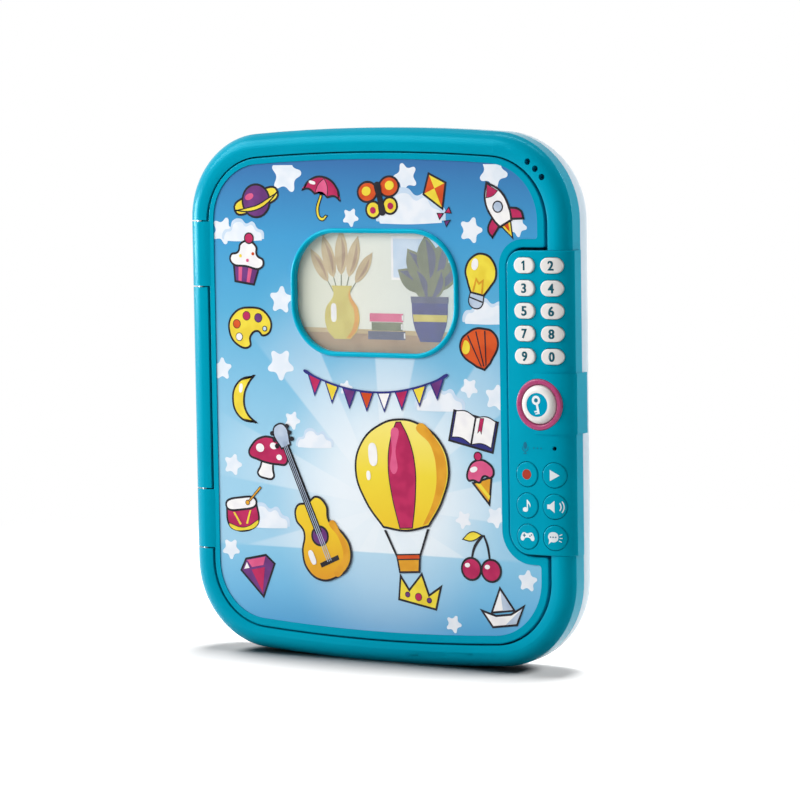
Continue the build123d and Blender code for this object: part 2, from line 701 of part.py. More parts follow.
with BuildPart() as battery_door:
    edge = door_margin - door_gap
    slab(block(-bay_half - edge, bay_half + edge, bay_bottom - edge, bay_top + edge, 1.7), back - wall, back)
    slab(block(-7 + door_gap, 7 - door_gap, bay_top, door_screw_z + 5 - door_gap, 1.7), back - wall, back)
    slab(discs([(0, door_screw_z)], 1.3), back - wall, back, mode=Mode.SUBTRACT)
    slab(discs([(0, door_screw_z)], 2.5), back - 1.3, back, mode=Mode.SUBTRACT)
    for z in (16, 20, 24):                                # finger ribs
        slab(block(-10, 10, z - 0.6, z + 0.6, 0.5), back - 0.6, back, mode=Mode.SUBTRACT)
save(battery_door.part, "battery_door")

with BuildPart() as door_screw:
    slab(discs([(0, door_screw_z)], 1.2), boss_meet + 1.5, back - 1.3)
    slab(discs([(0, door_screw_z)], 2.3), back - 1.3, back - 0.2)
    slab(crosses([(0, door_screw_z)], 2.8), back - 0.9, back - 0.2, mode=Mode.SUBTRACT)
save(door_screw.part, "door_screw")

# ---------------------------------------------------------------- screws
with BuildPart() as case_screw_set:
    slab(discs(case_screws, 1.4), seam + 1.0, screw_shoulder)
    slab(discs(case_screws, 2.7), screw_shoulder, screw_shoulder + 1.9)
    slab(crosses(case_screws, 3.4), screw_shoulder + 0.9, screw_shoulder + 1.9, mode=Mode.SUBTRACT)
save(case_screw_set.part, "case_screws")

with BuildPart() as frame_screw_set:
    slab(discs(frame_screws, 1.0), lid_face + 3.4, flange_back)
    slab(discs(frame_screws, 2.0), flange_back, flange_back + 1.3)
save(frame_screw_set.part, "frame_screws")

with BuildPart() as panel_screw_set:
    slab(discs(panel_bosses, 1.0), lid_face + 3.0, flange_back)
    slab(discs(panel_bosses, 2.0), flange_back, flange_back + 1.3)
save(panel_screw_set.part, "panel_screws")
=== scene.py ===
# %% [markdown]
# # An electronic secret diary
# The diary is a hard plastic case that stands upright. A printed lid is hinged on its left side, and a keypad
# column on its right side stays put when the lid swings. The CAD model gives every rigid part its true shape,
# so Blender adds what a shape alone can't show: the plastics, the printed sheet with its motifs, the picture
# behind the window, and the digits and symbols on the keys.

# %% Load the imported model
import json
import math

import bmesh
import bpy
from mathutils import Matrix, Vector
from mathutils.bvhtree import BVHTree


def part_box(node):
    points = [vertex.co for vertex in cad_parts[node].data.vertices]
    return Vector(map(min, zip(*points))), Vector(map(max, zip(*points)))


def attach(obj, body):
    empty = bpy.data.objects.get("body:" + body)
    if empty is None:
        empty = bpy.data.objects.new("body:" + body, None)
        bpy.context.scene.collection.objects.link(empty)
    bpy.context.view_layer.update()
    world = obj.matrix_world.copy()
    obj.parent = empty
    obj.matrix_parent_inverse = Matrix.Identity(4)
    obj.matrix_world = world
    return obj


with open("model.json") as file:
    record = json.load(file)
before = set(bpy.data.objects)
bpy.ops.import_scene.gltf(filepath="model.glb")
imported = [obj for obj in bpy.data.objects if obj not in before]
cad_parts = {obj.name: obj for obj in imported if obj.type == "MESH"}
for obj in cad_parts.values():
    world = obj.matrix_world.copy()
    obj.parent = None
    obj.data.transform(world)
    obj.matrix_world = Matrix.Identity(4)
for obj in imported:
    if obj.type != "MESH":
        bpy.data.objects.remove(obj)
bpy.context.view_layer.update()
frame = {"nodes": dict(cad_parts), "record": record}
nodes = frame["nodes"]
MM = 0.001
print("CAD nodes:", len(nodes))

# %% [markdown]
# ## The camera
# A long lens from the right and slightly above keeps the straight edges nearly parallel. The angles below are
# the camera's turn round the diary, its height and its roll. Its three axes are built from them by hand,
# because a small roll is easier to state than to find with a tracking constraint.

# %% Place the camera
TURN, RISE, ROLL = math.radians(31.9), math.radians(4.86), math.radians(-0.91)
DISTANCE = 1.5975
AIM = Vector((0.00916, -0.014, 0.1213))  # the point of the lid that the camera is aimed at
SIDE_STEP = -8 / 3500  # how far that point lies from the picture's middle

back = Vector((math.sin(TURN) * math.cos(RISE), -math.cos(TURN) * math.cos(RISE), math.sin(RISE)))
level_right = (-back).cross(Vector((0, 0, 1))).normalized()
level_up = level_right.cross(-back)
right = math.cos(ROLL) * level_right + math.sin(ROLL) * level_up
up = -math.sin(ROLL) * level_right + math.cos(ROLL) * level_up

camera = bpy.data.objects.new("camera", bpy.data.cameras.new("camera"))
bpy.context.collection.objects.link(camera)
camera.data.lens = 157.5
camera.data.sensor_width = 36.0
spot = AIM + (back - SIDE_STEP * right) * DISTANCE
camera.matrix_world = Matrix.Translation(spot) @ Matrix((right, up, back)).transposed().to_4x4()
bpy.context.scene.camera = camera
print("camera at", [round(c, 3) for c in spot])

# %% [markdown]
# ## Shader maths as plain expressions
# A finish is easier to read as a formula than as a list of node links. One small class wraps an output
# socket, so that `1 - mask` or `noise * 0.1` adds the Math nodes by itself. Every other node comes from one
# method.

# %% A socket that can be used in arithmetic
class Value:
    """An output socket of a material, used like a number."""

    def __init__(self, finish, socket):
        self.finish = finish
        self.socket = socket

    def maths(self, operation, *terms):
        return self.finish.node("Math", {"operation": operation}, dict(enumerate(terms)))

    def __add__(self, other):
        return self.maths("ADD", self, other)

    def __sub__(self, other):
        return self.maths("SUBTRACT", self, other)

    def __rsub__(self, other):
        return self.maths("SUBTRACT", other, self)

    def __mul__(self, other):
        return self.maths("MULTIPLY", self, other)

    def __truediv__(self, other):
        return self.maths("DIVIDE", self, other)

    def __abs__(self):
        return self.maths("ABSOLUTE", self)

    __radd__ = __add__
    __rmul__ = __mul__


class Finish:
    """A material under construction."""

    def __init__(self, name):
        self.material = bpy.data.materials.new(name)
        self.material.use_nodes = True
        self.tree = self.material.node_tree
        self.tree.nodes.clear()
        self.place = self.node("TexCoord", output="Object")
        self.x, self.y, self.z = (self.node("SeparateXYZ", inputs={0: self.place},
                                            output=i) for i in range(3))

    def node(self, kind, settings=None, inputs=None, output=0):
        made = self.tree.nodes.new("ShaderNode" + kind)
        for key, value in (settings or {}).items():
            if key == "stops":
                while len(made.color_ramp.elements) < len(value):
                    made.color_ramp.elements.new(1.0)
                for stop, (position, colour) in zip(made.color_ramp.elements, value):
                    stop.position = position
                    stop.color = colour
            else:
                setattr(made, key, value)
        for key, value in (inputs or {}).items():
            if isinstance(value, Value):
                self.tree.links.new(value.socket, made.inputs[key])
            else:
                made.inputs[key].default_value = value
        return Value(self, made.outputs[output])

    def noise(self, size, detail=2.0):
        """Soft cloudy values around 0.5, with features of a size in millimetres."""
        return self.node("TexNoise", inputs={"Vector": self.place, "Scale": 1 / (size * MM),
                                             "Detail": detail})

    def ramp(self, value, stops, ease="LINEAR"):
        """Colours along a value: stops are (position, sRGB colour)."""
        made = self.node("ValToRGB", {"stops": [(p, rgb(*c)) for p, c in stops]}, {0: value})
        made.socket.node.color_ramp.interpolation = ease
        return made

    def fade(self, value, low, high):
        """A smooth step from 0 at low to 1 at high."""
        return self.node("MapRange", {"interpolation_type": "SMOOTHSTEP"}, {0: value, 1: low, 2: high})

    def mix(self, amount, first, second):
        """Two colours mixed by an amount from 0 to 1."""
        return self.node("Mix", {"data_type": "RGBA"}, {0: amount, 6: first, 7: second}, output=2)

    def bump(self, height, depth):
        """A surface raised by height (0 to 1) times depth in millimetres."""
        return self.node("Bump", inputs={"Strength": 1.0, "Distance": depth * MM, "Height": height})

    def surface(self, **sockets):
        """The finished shader; an underscore in a name stands for a space."""
        shader = self.node("BsdfPrincipled", inputs={k.replace("_", " "): v for k, v in sockets.items()})
        return self.output(shader)

    def output(self, shader):
        made = self.tree.nodes.new("ShaderNodeOutputMaterial")
        self.tree.links.new(shader.socket, made.inputs["Surface"])
        return self.material


def rgb(*levels):
    """An sRGB colour of 0 to 255 as Blender's linear colour."""
    return (*(((c / 255 + 0.055) / 1.055) ** 2.4 if c > 10 else c / 255 / 12.92 for c in levels), 1.0)


def grey(level):
    """A linear grey."""
    return (level, level, level, 1.0)


print("shader helpers ready")

# %% [markdown]
# ## Floor, backdrop and light
# The diary stands on a pale floor. Close to it the floor is matt and lit, so that it holds a soft shadow;
# farther out it fades into plain white, as white as the background. The floor and the world show the diary
# only a little light from below and around: less than the camera and the reflections see of them.
#
# Light linking parts the lamps in two sets. Four light the diary and leave the floor out: a big soft one from
# the front left, a low one farther to the left, one over the top and a tall strip beside the right wall.
# Three light the floor alone, from above and from both sides. So the front stays even and the rounded edges
# turn from bright on the left to dark on the right, while the shadow stays short and close to the foot.

# %% Floor and background
scene = bpy.context.scene
scene.view_settings.view_transform = "Standard"

NEAR, FAR = 0.30, 0.60  # where the lit floor starts and ends its fade into plain white, in metres
FLOOR_TONES = (0.36, 0.37)  # the lit floor's two close greys
FLOOR_HALF = 6.0  # half the floor's width, in metres
BOUNCE = 0.16  # how much light the floor throws back at the diary
SKY_LEVEL = 0.07  # how much light the world throws at matt surfaces

paper = Finish("white_floor")
distance = paper.node("VectorMath", {"operation": "LENGTH"}, {0: paper.place}, output="Value")
seen, in_gloss, through = (paper.node("LightPath", output=f"Is {kind} Ray")
                           for kind in ("Camera", "Glossy", "Transmission"))
looked_at = paper.node("Math", {"operation": "ADD", "use_clamp": True}, {0: seen + in_gloss, 1: through})
grain = paper.noise(400.0)
lit = paper.mix(paper.fade(grain, 0.3, 0.7), *(grey(tone) for tone in FLOOR_TONES))
matt = paper.node("BsdfDiffuse", inputs={"Color": paper.mix(looked_at, grey(BOUNCE), lit)})
plain_white = paper.node("Emission", inputs={"Color": grey(1), "Strength": 1.0})
away = paper.fade(distance, NEAR, FAR) * looked_at
paper.output(paper.node("MixShader", inputs={0: away, 1: matt, 2: plain_white}))

ground = bmesh.new()
bmesh.ops.create_grid(ground, x_segments=1, y_segments=1, size=FLOOR_HALF)
floor = bpy.data.objects.new("floor", bpy.data.meshes.new("floor"))
ground.to_mesh(floor.data)
ground.free()
floor.data.materials.append(paper.material)
bpy.context.collection.objects.link(floor)

world = bpy.data.worlds.new("studio")
scene.world = world
world.use_nodes = True
world.node_tree.nodes.clear()


def world_node(kind, **inputs):
    made = world.node_tree.nodes.new("ShaderNode" + kind)
    for key, value in inputs.items():
        if isinstance(value, bpy.types.NodeSocket):
            world.node_tree.links.new(value, made.inputs[key])
        else:
            made.inputs[key].default_value = value
    return made


rays = world_node("LightPath")
dim = world_node("Background", Color=grey(1), Strength=SKY_LEVEL)
white = world_node("Background", Color=grey(1), Strength=1.0)
either = world_node("MixShader", Fac=rays.outputs["Is Diffuse Ray"])
world.node_tree.links.new(white.outputs[0], either.inputs[1])
world.node_tree.links.new(dim.outputs[0], either.inputs[2])
world_node("OutputWorld", Surface=either.outputs[0])


# %% Soft lights for the diary and for the floor
MIDDLE = Vector((0, 0, 0.12))  # the middle of the diary, which every lamp faces


def soft_light(name, azimuth, elevation, distance, width, height, power):
    """A flat lamp, in degrees, metres and watts. Azimuth 0 is in front of the diary, 90 on its right."""
    a, e = math.radians(azimuth), math.radians(elevation)
    away = Vector((math.sin(a) * math.cos(e), -math.cos(a) * math.cos(e), math.sin(e)))
    light = bpy.data.objects.new(name, bpy.data.lights.new(name, "AREA"))
    light.data.shape = "RECTANGLE"
    light.data.size, light.data.size_y = width, height
    light.data.energy = power
    light.matrix_world = (Matrix.Translation(MIDDLE + away * distance)
                          @ away.to_track_quat("Z", "Y").to_matrix().to_4x4())
    bpy.context.collection.objects.link(light)
    return light


object_lights = [soft_light("key_light", -46, 30, 1.7, 1.2, 0.9, 24.0),
                 soft_light("low_light", -68, 3, 1.7, 0.9, 0.25, 13.0),
                 soft_light("top_light", 0, 84, 1.5, 1.2, 0.2, 7.0),
                 soft_light("side_light", 130, 24, 1.8, 0.25, 1.4, 21.0)]
floor_lights = [soft_light("floor_back", 180, 80, 2.5, 1.2, 0.9, 235.0),
                soft_light("floor_left", -105, 40, 2.5, 1.2, 0.8, 115.0),
                soft_light("floor_right", 105, 40, 2.5, 1.2, 0.8, 110.0)]

for light in (*object_lights, *floor_lights):
    receivers = bpy.data.collections.new(light.name + "_receivers")
    receivers.objects.link(floor)
    state = "INCLUDE" if light in floor_lights else "EXCLUDE"
    receivers.collection_objects[0].light_linking.link_state = state
    light.light_linking.receiver_collection = receivers
print(len(object_lights), "lights for the diary,", len(floor_lights), "for the floor")

# %% [markdown]
# ## Moulded plastics
# A moulded part isn't one flat colour. The melt leaves the tone very slightly uneven over some centimetres,
# and the tool leaves a fine grain that breaks up reflections. So each plastic mixes two close tones with a
# slow noise, varies its roughness a little, and adds a bump of a few thousandths of a millimetre.

# %% Plastic finishes
DRIFT_SIZE = 38.0  # how far apart the slow changes of tone lie, in mm
TEAL_GLINT = (0, 214, 240)  # the tone of the highlights on teal parts


def plastic(name, tone, other_tone, roughness, grain=(0.35, 0.004), shine=0.3, glint=(255, 255, 255)):
    """A moulded plastic between two sRGB tones, with its grain's size and depth and its highlights' tone."""
    f = Finish(name)
    drift = f.fade(f.noise(DRIFT_SIZE, 1.0), 0.3, 0.7)
    fine = f.noise(grain[0], 3.0)
    colour = f.mix(drift, rgb(*tone), rgb(*other_tone))
    return f.surface(Base_Color=colour, Roughness=roughness + 0.06 * (fine - 0.5) + 0.03 * (drift - 0.5),
                     Specular_IOR_Level=shine, Specular_Tint=rgb(*glint), Normal=f.bump(fine, grain[1]))


PLASTICS = {
    "teal_plastic": ((0, 158, 186), (0, 152, 181), 0.18, {"shine": 0.22, "glint": TEAL_GLINT}),
    "pale_plastic": ((202, 220, 231), (197, 215, 227), 0.34, {"shine": 0.2}),
    "tray_plastic": ((0, 148, 178), (0, 142, 172), 0.46, {"grain": (0.6, 0.012), "glint": TEAL_GLINT}),
    "bezel_plastic": ((0, 168, 198), (0, 163, 194), 0.24, {"shine": 0.4, "glint": TEAL_GLINT}),
    "white_plastic": ((240, 237, 234), (235, 231, 228), 0.28, {}),
    "badge_plastic": ((0, 156, 190), (0, 150, 184), 0.26, {"glint": TEAL_GLINT}),
    "dark_plastic": ((36, 37, 41), (30, 31, 35), 0.45, {"grain": (0.5, 0.008)}),
    "rubber_sheet": ((206, 208, 209), (198, 200, 202), 0.62, {"grain": (0.8, 0.01)}),
}
finishes = {name: plastic(name, *tones, **more) for name, (*tones, more) in PLASTICS.items()}
print(len(finishes), "plastics")

# %% [markdown]
# ## Metal, card, board and clear sheet
# These are the parts that show when the lid or the battery door is open. Plated steel gets fine brushing, a
# circuit board its solder mask with faint tracks, and the writing pad its ruled lines. The window is a thin
# clear sheet. It is made with alpha rather than real refraction, which is enough for a flat sheet a
# millimetre thick and keeps its picture sharp.

# %% Other finishes
def plated_steel():
    f = Finish("steel")
    stretched = f.node("Mapping", inputs={"Vector": f.place, "Scale": (2500, 2500, 150)})
    streaks = f.node("TexNoise", inputs={"Vector": stretched, "Scale": 1.0, "Detail": 3.0})
    colour = f.mix(streaks, rgb(196, 197, 200), rgb(222, 222, 224))
    return f.surface(Base_Color=colour, Metallic=1.0, Roughness=0.24 + 0.16 * streaks,
                     Normal=f.bump(streaks, 0.003))


def circuit_board():
    f = Finish("circuit_board")
    front = f.node("CombineXYZ", inputs={0: f.x, 1: f.z, 2: 0.0})
    tracks = f.node("TexBrick", {"offset": 0.5}, {"Vector": front, "Scale": 160.0, "Mortar Size": 0.09,
                                                  "Color1": grey(0), "Color2": grey(0.25), "Mortar": grey(1)})
    colour = f.mix(tracks, rgb(20, 96, 62), rgb(44, 130, 84))
    return f.surface(Base_Color=colour, Roughness=0.34 + 0.1 * f.noise(2.0), Normal=f.bump(tracks, 0.03))


CELL_REACH = 0.028  # from the battery bay's middle line past a cell's end, in metres
RULE_PITCH, MARGIN_X = 0.007, -0.058  # the pad's ruling: line spacing and place of the margin line


def wrapped_cell():
    f = Finish("cell_metal")
    wrap = f.ramp(abs(f.x) / CELL_REACH, [(0.0, (64, 68, 78)), (0.55, (64, 68, 78)), (0.56, (214, 168, 74)),
                                          (0.86, (206, 158, 66)), (0.875, (190, 192, 196)),
                                          (1.0, (205, 206, 208))], "CONSTANT")
    sheen = f.noise(6.0)
    return f.surface(Base_Color=f.mix(0.08 * sheen, wrap, (1, 1, 1, 1)), Metallic=0.6,
                     Roughness=0.26 + 0.1 * sheen, Normal=f.bump(f.noise(0.8), 0.01))


def ruled_paper():
    f = Finish("paper")
    fibre = f.noise(0.5, 4.0)
    phase = f.node("Math", {"operation": "FRACT"}, {0: f.z / RULE_PITCH})
    rule = 1 - f.fade(abs(phase - 0.5), 0.012, 0.03)
    margin = 1 - f.fade(abs(f.x - MARGIN_X), 0.00012, 0.0003)
    page = f.mix(fibre, rgb(250, 249, 244), rgb(243, 242, 235))
    ruled = f.mix(0.75 * rule, page, rgb(150, 190, 222))
    return f.surface(Base_Color=f.mix(0.8 * margin, ruled, rgb(224, 120, 150)),
                     Roughness=0.85 + 0.1 * (fibre - 0.5), Normal=f.bump(fibre, 0.01))


def grey_board():
    f = Finish("card")
    fibre = f.noise(0.9, 5.0)
    return f.surface(Base_Color=f.mix(fibre, rgb(186, 168, 142), rgb(160, 140, 112)), Roughness=0.9,
                     Normal=f.bump(fibre, 0.03))


def clear_sheet():
    f = Finish("clear_plastic")
    smear = f.noise(25.0, 3.0)
    return f.surface(Base_Color=f.mix(smear, rgb(240, 244, 246), rgb(232, 240, 243)),
                     Roughness=0.05 + 0.04 * smear, Alpha=0.10, Normal=f.bump(f.noise(12.0, 1.0), 0.01))


finishes |= {"steel": plated_steel(), "circuit_board": circuit_board(), "cell_metal": wrapped_cell(),
             "paper": ruled_paper(), "card": grey_board(), "clear_plastic": clear_sheet()}

# %% [markdown]
# ## The lock light
# The ring round the unlock button is a pink light pipe. It is brightest in the middle of its band and darker
# at its two edges. The distance from the button's centre, worked out from Object coordinates, drives that
# colour, and a faint emission makes it glow.

# %% Light ring finish
LOCK = (0.0877, 0.1219)  # X and Z of the unlock button's centre
RING_INNER, RING_BAND = 0.0088, 0.003  # the ring's inner radius and the width that its colours run over


def light_pipe():
    f = Finish("pink_ring")
    offset = f.node("CombineXYZ", inputs={0: f.x - LOCK[0], 1: f.z - LOCK[1], 2: 0.0})
    radius = f.node("VectorMath", {"operation": "LENGTH"}, {0: offset}, output="Value")
    band = f.ramp((radius - RING_INNER) / RING_BAND, [(0.0, (122, 14, 68)), (0.22, (152, 24, 88)),
                                                      (0.7, (158, 28, 94)), (1.0, (122, 14, 68))])
    cloud = f.noise(3.0)
    return f.surface(Base_Color=f.mix(0.15 * cloud, band, rgb(225, 130, 180)), Roughness=0.25 + 0.06 * cloud,
                     Emission_Color=band, Emission_Strength=0.12, Normal=f.bump(f.noise(0.6), 0.004))


finishes["pink_ring"] = light_pipe()

# %% [markdown]
# ## The printed sheet
# The lid carries a printed plastic sheet: a sky that runs from deep blue at the top to a bright glow near the
# ground, with soft rays. It is a ramp up the height, a fan of rays from an angle, and a glow from a distance.
# The motifs on it are real thin shapes, made further on, because a crisp edge with a dark outline is easier
# to draw than to calculate.

# %% Sky finish
GLOW = (0.004, 0.072)  # X and Z of the glow's centre
HORIZON, SOFT = 0.0505, 0.0004  # where the sky meets the ground, and half the width of that step
SHEET_FOOT, SHEET_HEIGHT = 0.0134, 0.2166  # Z of the sheet's lowest edge, and how far it reaches up
RAYS, RAY_TURN = 9.0, 0.7  # number of soft rays in a full turn, and how far they are turned
PRINT_SHINE = 0.14  # how strongly a print reflects


def printed(f, colour):
    """A print's finish: a faint dot grain in its roughness and bump."""
    dots = f.noise(0.25, 1.0)
    return f.surface(Base_Color=colour, Roughness=0.33 + 0.05 * (dots - 0.5), Specular_IOR_Level=PRINT_SHINE,
                     Normal=f.bump(dots, 0.002))


def printed_sky():
    f = Finish("printed_sheet")
    height = (f.z - SHEET_FOOT) / SHEET_HEIGHT
    sky = f.ramp(height, [(0.0, (88, 164, 212)), (0.09, (118, 186, 224)), (0.168, (138, 198, 228)),
                          (0.175, (160, 206, 231)), (0.38, (158, 207, 231)), (0.54, (128, 191, 223)),
                          (0.68, (90, 174, 214)), (0.84, (67, 156, 207)), (1.0, (56, 114, 172))])
    across, above = f.x - GLOW[0], f.z - GLOW[1]
    from_glow = f.node("CombineXYZ", inputs={0: across, 1: above * 0.8, 2: 0.0})
    reach = f.node("VectorMath", {"operation": "LENGTH"}, {0: from_glow}, output="Value")
    turn = f.node("Math", {"operation": "ARCTAN2"}, {0: across, 1: above})
    waves = f.node("Math", {"operation": "SINE"}, {0: turn * RAYS + RAY_TURN})
    in_sky = f.fade(f.z, HORIZON - SOFT, HORIZON + SOFT)
    rays = f.fade(waves, 0.10, 0.28) * (1 - f.fade(reach, 0.045, 0.105)) * in_sky
    rayed = f.mix(0.62 * rays, sky, rgb(214, 232, 244))
    glow = (1 - f.fade(reach, 0.020, 0.066)) * (0.4 + 0.6 * in_sky)
    glowing = f.mix(0.9 * glow, rayed, rgb(240, 246, 250))
    return printed(f, f.mix(0.05 * f.noise(9.0, 3.0), glowing, rgb(30, 90, 160)))


finishes["printed_sheet"] = printed_sky()
CARD_WIDTH = 0.09  # the width over which the picture's wall changes its tone


def picture_wall():
    """The picture card: a pale wall over a table edge, softly lit from the left."""
    f = Finish("picture_paper")
    wall = f.ramp(f.x / CARD_WIDTH + 0.5, [(0.0, (214, 216, 192)), (0.35, (232, 232, 218)),
                                           (0.7, (224, 228, 220)), (1.0, (206, 214, 208))])
    shade = f.noise(30.0, 2.0)
    return f.surface(Base_Color=f.mix(0.12 * shade, wall, rgb(190, 196, 170)), Roughness=0.4 + 0.05 * shade,
                     Normal=f.bump(f.noise(0.4), 0.004))


finishes["picture_paper"] = picture_wall()

# %% [markdown]
# ## Dress the CAD nodes
# Each node names its material slot in the record, so one loop gives every CAD node its finish.

# %% Assign finishes to the CAD nodes
for part in frame["record"]["subparts"]:
    node = nodes[part["node"]]
    node.data.materials.clear()
    node.data.materials.append(finishes[part["material_slot"]])

# %% [markdown]
# ## Printing inks
# Each printed colour is its own finish: the ink's tone with a slow drift and a faint dot grain, as glossy as
# the sheet that it's printed on.

# %% Inks
GOLD_FOOT, GOLD_HEIGHT = 0.035, 0.08  # the heights over which the big motifs' yellow fades


def ink(name, tone, other_tone=None):
    """A printed colour that drifts towards a second tone."""
    f = Finish("ink_" + name)
    other_tone = other_tone or tuple(max(c - 14, 0) for c in tone)
    return printed(f, f.mix(f.fade(f.noise(7.0, 1.0), 0.35, 0.65), rgb(*tone), rgb(*other_tone)))


def golden_ink():
    """The big motifs' yellow: pale at the top and golden at the bottom."""
    f = Finish("ink_gold_fade")
    tone = f.ramp((f.z - GOLD_FOOT) / GOLD_HEIGHT, [(0.0, (222, 150, 40)), (0.3, (236, 196, 44)),
                                                    (0.65, (240, 216, 62)), (1.0, (246, 232, 128))])
    return printed(f, f.mix(0.06 * f.noise(8.0), tone, rgb(200, 120, 20)))


INK_TONES = {
    "line": ((42, 40, 47),), "white": ((247, 245, 243), (238, 236, 238)),
    "pale": ((208, 224, 240), (196, 216, 236)), "yellow": ((240, 220, 70), (232, 206, 60)),
    "amber": ((226, 164, 48), (216, 150, 40)), "crimson": ((190, 44, 94), (172, 34, 84)),
    "rose": ((222, 96, 140), (212, 84, 130)), "orange": ((216, 88, 38), (202, 74, 30)),
    "purple": ((112, 58, 126), (98, 48, 112)), "navy": ((50, 52, 128), (44, 46, 116)),
    "silver": ((190, 204, 222), (172, 188, 210)), "teal": ((16, 118, 146), (8, 108, 138)),
    "deep_teal": ((0, 84, 100), (0, 76, 92)), "red": ((176, 62, 44), (166, 52, 36)),
    "key_white": ((238, 244, 246), (230, 238, 242)), "wood": ((176, 146, 112), (160, 130, 98)),
    "straw": ((206, 184, 140), (190, 166, 120)), "slate": ((86, 90, 122), (74, 78, 108)),
    "olive": ((120, 126, 92), (104, 112, 80)), "lemon": ((214, 200, 96), (204, 188, 84)),
    "cloud": ((236, 240, 246), (226, 234, 243)),
}
inks = {name: ink(name, *tones) for name, tones in INK_TONES.items()}
inks["gold_fade"] = golden_ink()
print(len(inks), "inks")

# %% [markdown]
# ## Shapes for prints and symbols
# A closed Bezier curve gives a smooth or cornered outline from a few points, and turns into a wire that
# `edgeloop_fill` closes to one face. `inset_region` cuts an even band round that face for the dark outline.
# The faces are set on the surface that carries them, one layer a hair above the next, and `solidify` gives
# them a real thickness that goes down into the sheet, so that nothing floats.

# %% The artwork builder
LAYER = 0.025  # height of one printed layer over the one under it, in mm
LINE = 1.0  # width of a motif's dark outline, in mm
CURVE_STEPS = 7  # straight pieces between two points of an outline
STAR_WAIST = 0.64  # a star's inner radius as a share of its outer one
RAY_START = -0.1  # Y of a plane in front of the diary, from which prints are dropped
LEFT_EDGE, NOTCH_EDGE, TOP_EDGE = -0.0883, 0.0666, 0.2285  # edges of the sheet that trim a motif
SHEET_CUTS = {"left": ((LEFT_EDGE, 0, 0), (-1, 0, 0)), "notch": ((NOTCH_EDGE, 0, 0), (1, 0, 0)),
              "top": ((0, 0, TOP_EDGE), (0, 0, 1))}


def oval(x, z, width, height=None):
    """Four smooth points round an oval, given by its half width and half height."""
    height = height or width
    return [(x - width, z), (x, z + height), (x + width, z), (x, z - height)]


def star(x, z, radius, turn):
    """The points of a plump five-pointed star."""
    return [(x + r * math.sin(a), z + r * math.cos(a))
            for i in range(10)
            for a, r in [(turn + math.pi * i / 5, radius * (STAR_WAIST if i % 2 else 1.0))]]


def even(*half):
    """An outline that is alike on both sides of X = 0, from its right half given from end to end."""
    return [*half, *((-x, z, *corner) for x, z, *corner in reversed(half) if x)]


def sharp(*points):
    """Points that are sharp corners."""
    return [(x, z, 0) for x, z in points]


def block(left, low, right, high):
    """A rectangle."""
    return sharp((left, low), (right, low), (right, high), (left, high))


def taper(low_half, low, high_half, high):
    """A strip round X = 0 that narrows or widens, given by its half widths and heights."""
    return sharp((-low_half, low), (low_half, low), (high_half, high), (-high_half, high))


def wire_of(points):
    """A closed outline in millimetres as edges in the XZ plane; a third value marks a point as a corner."""
    curve = bpy.data.curves.new("outline", "CURVE")
    curve.dimensions = "3D"
    curve.resolution_u = CURVE_STEPS
    spline = curve.splines.new("BEZIER")
    spline.bezier_points.add(len(points) - 1)
    spline.use_cyclic_u = True
    for knot, (x, z, *corner) in zip(spline.bezier_points, points):
        knot.co = (x * MM, 0, z * MM)
        knot.handle_left_type = knot.handle_right_type = "VECTOR" if corner else "AUTO"
    holder = bpy.data.objects.new("outline", curve)
    mesh = bpy.data.meshes.new_from_object(holder)
    bpy.data.objects.remove(holder)
    return mesh


def facing(node):
    """A function that gives a node's front surface at X and Z, in metres."""
    skin = bmesh.new()
    skin.from_mesh(nodes[node].data)
    tree = BVHTree.FromBMesh(skin)
    skin.free()
    return lambda x, z: tree.ray_cast(Vector((x, RAY_START, z)), Vector((0, 1, 0)))[0].y


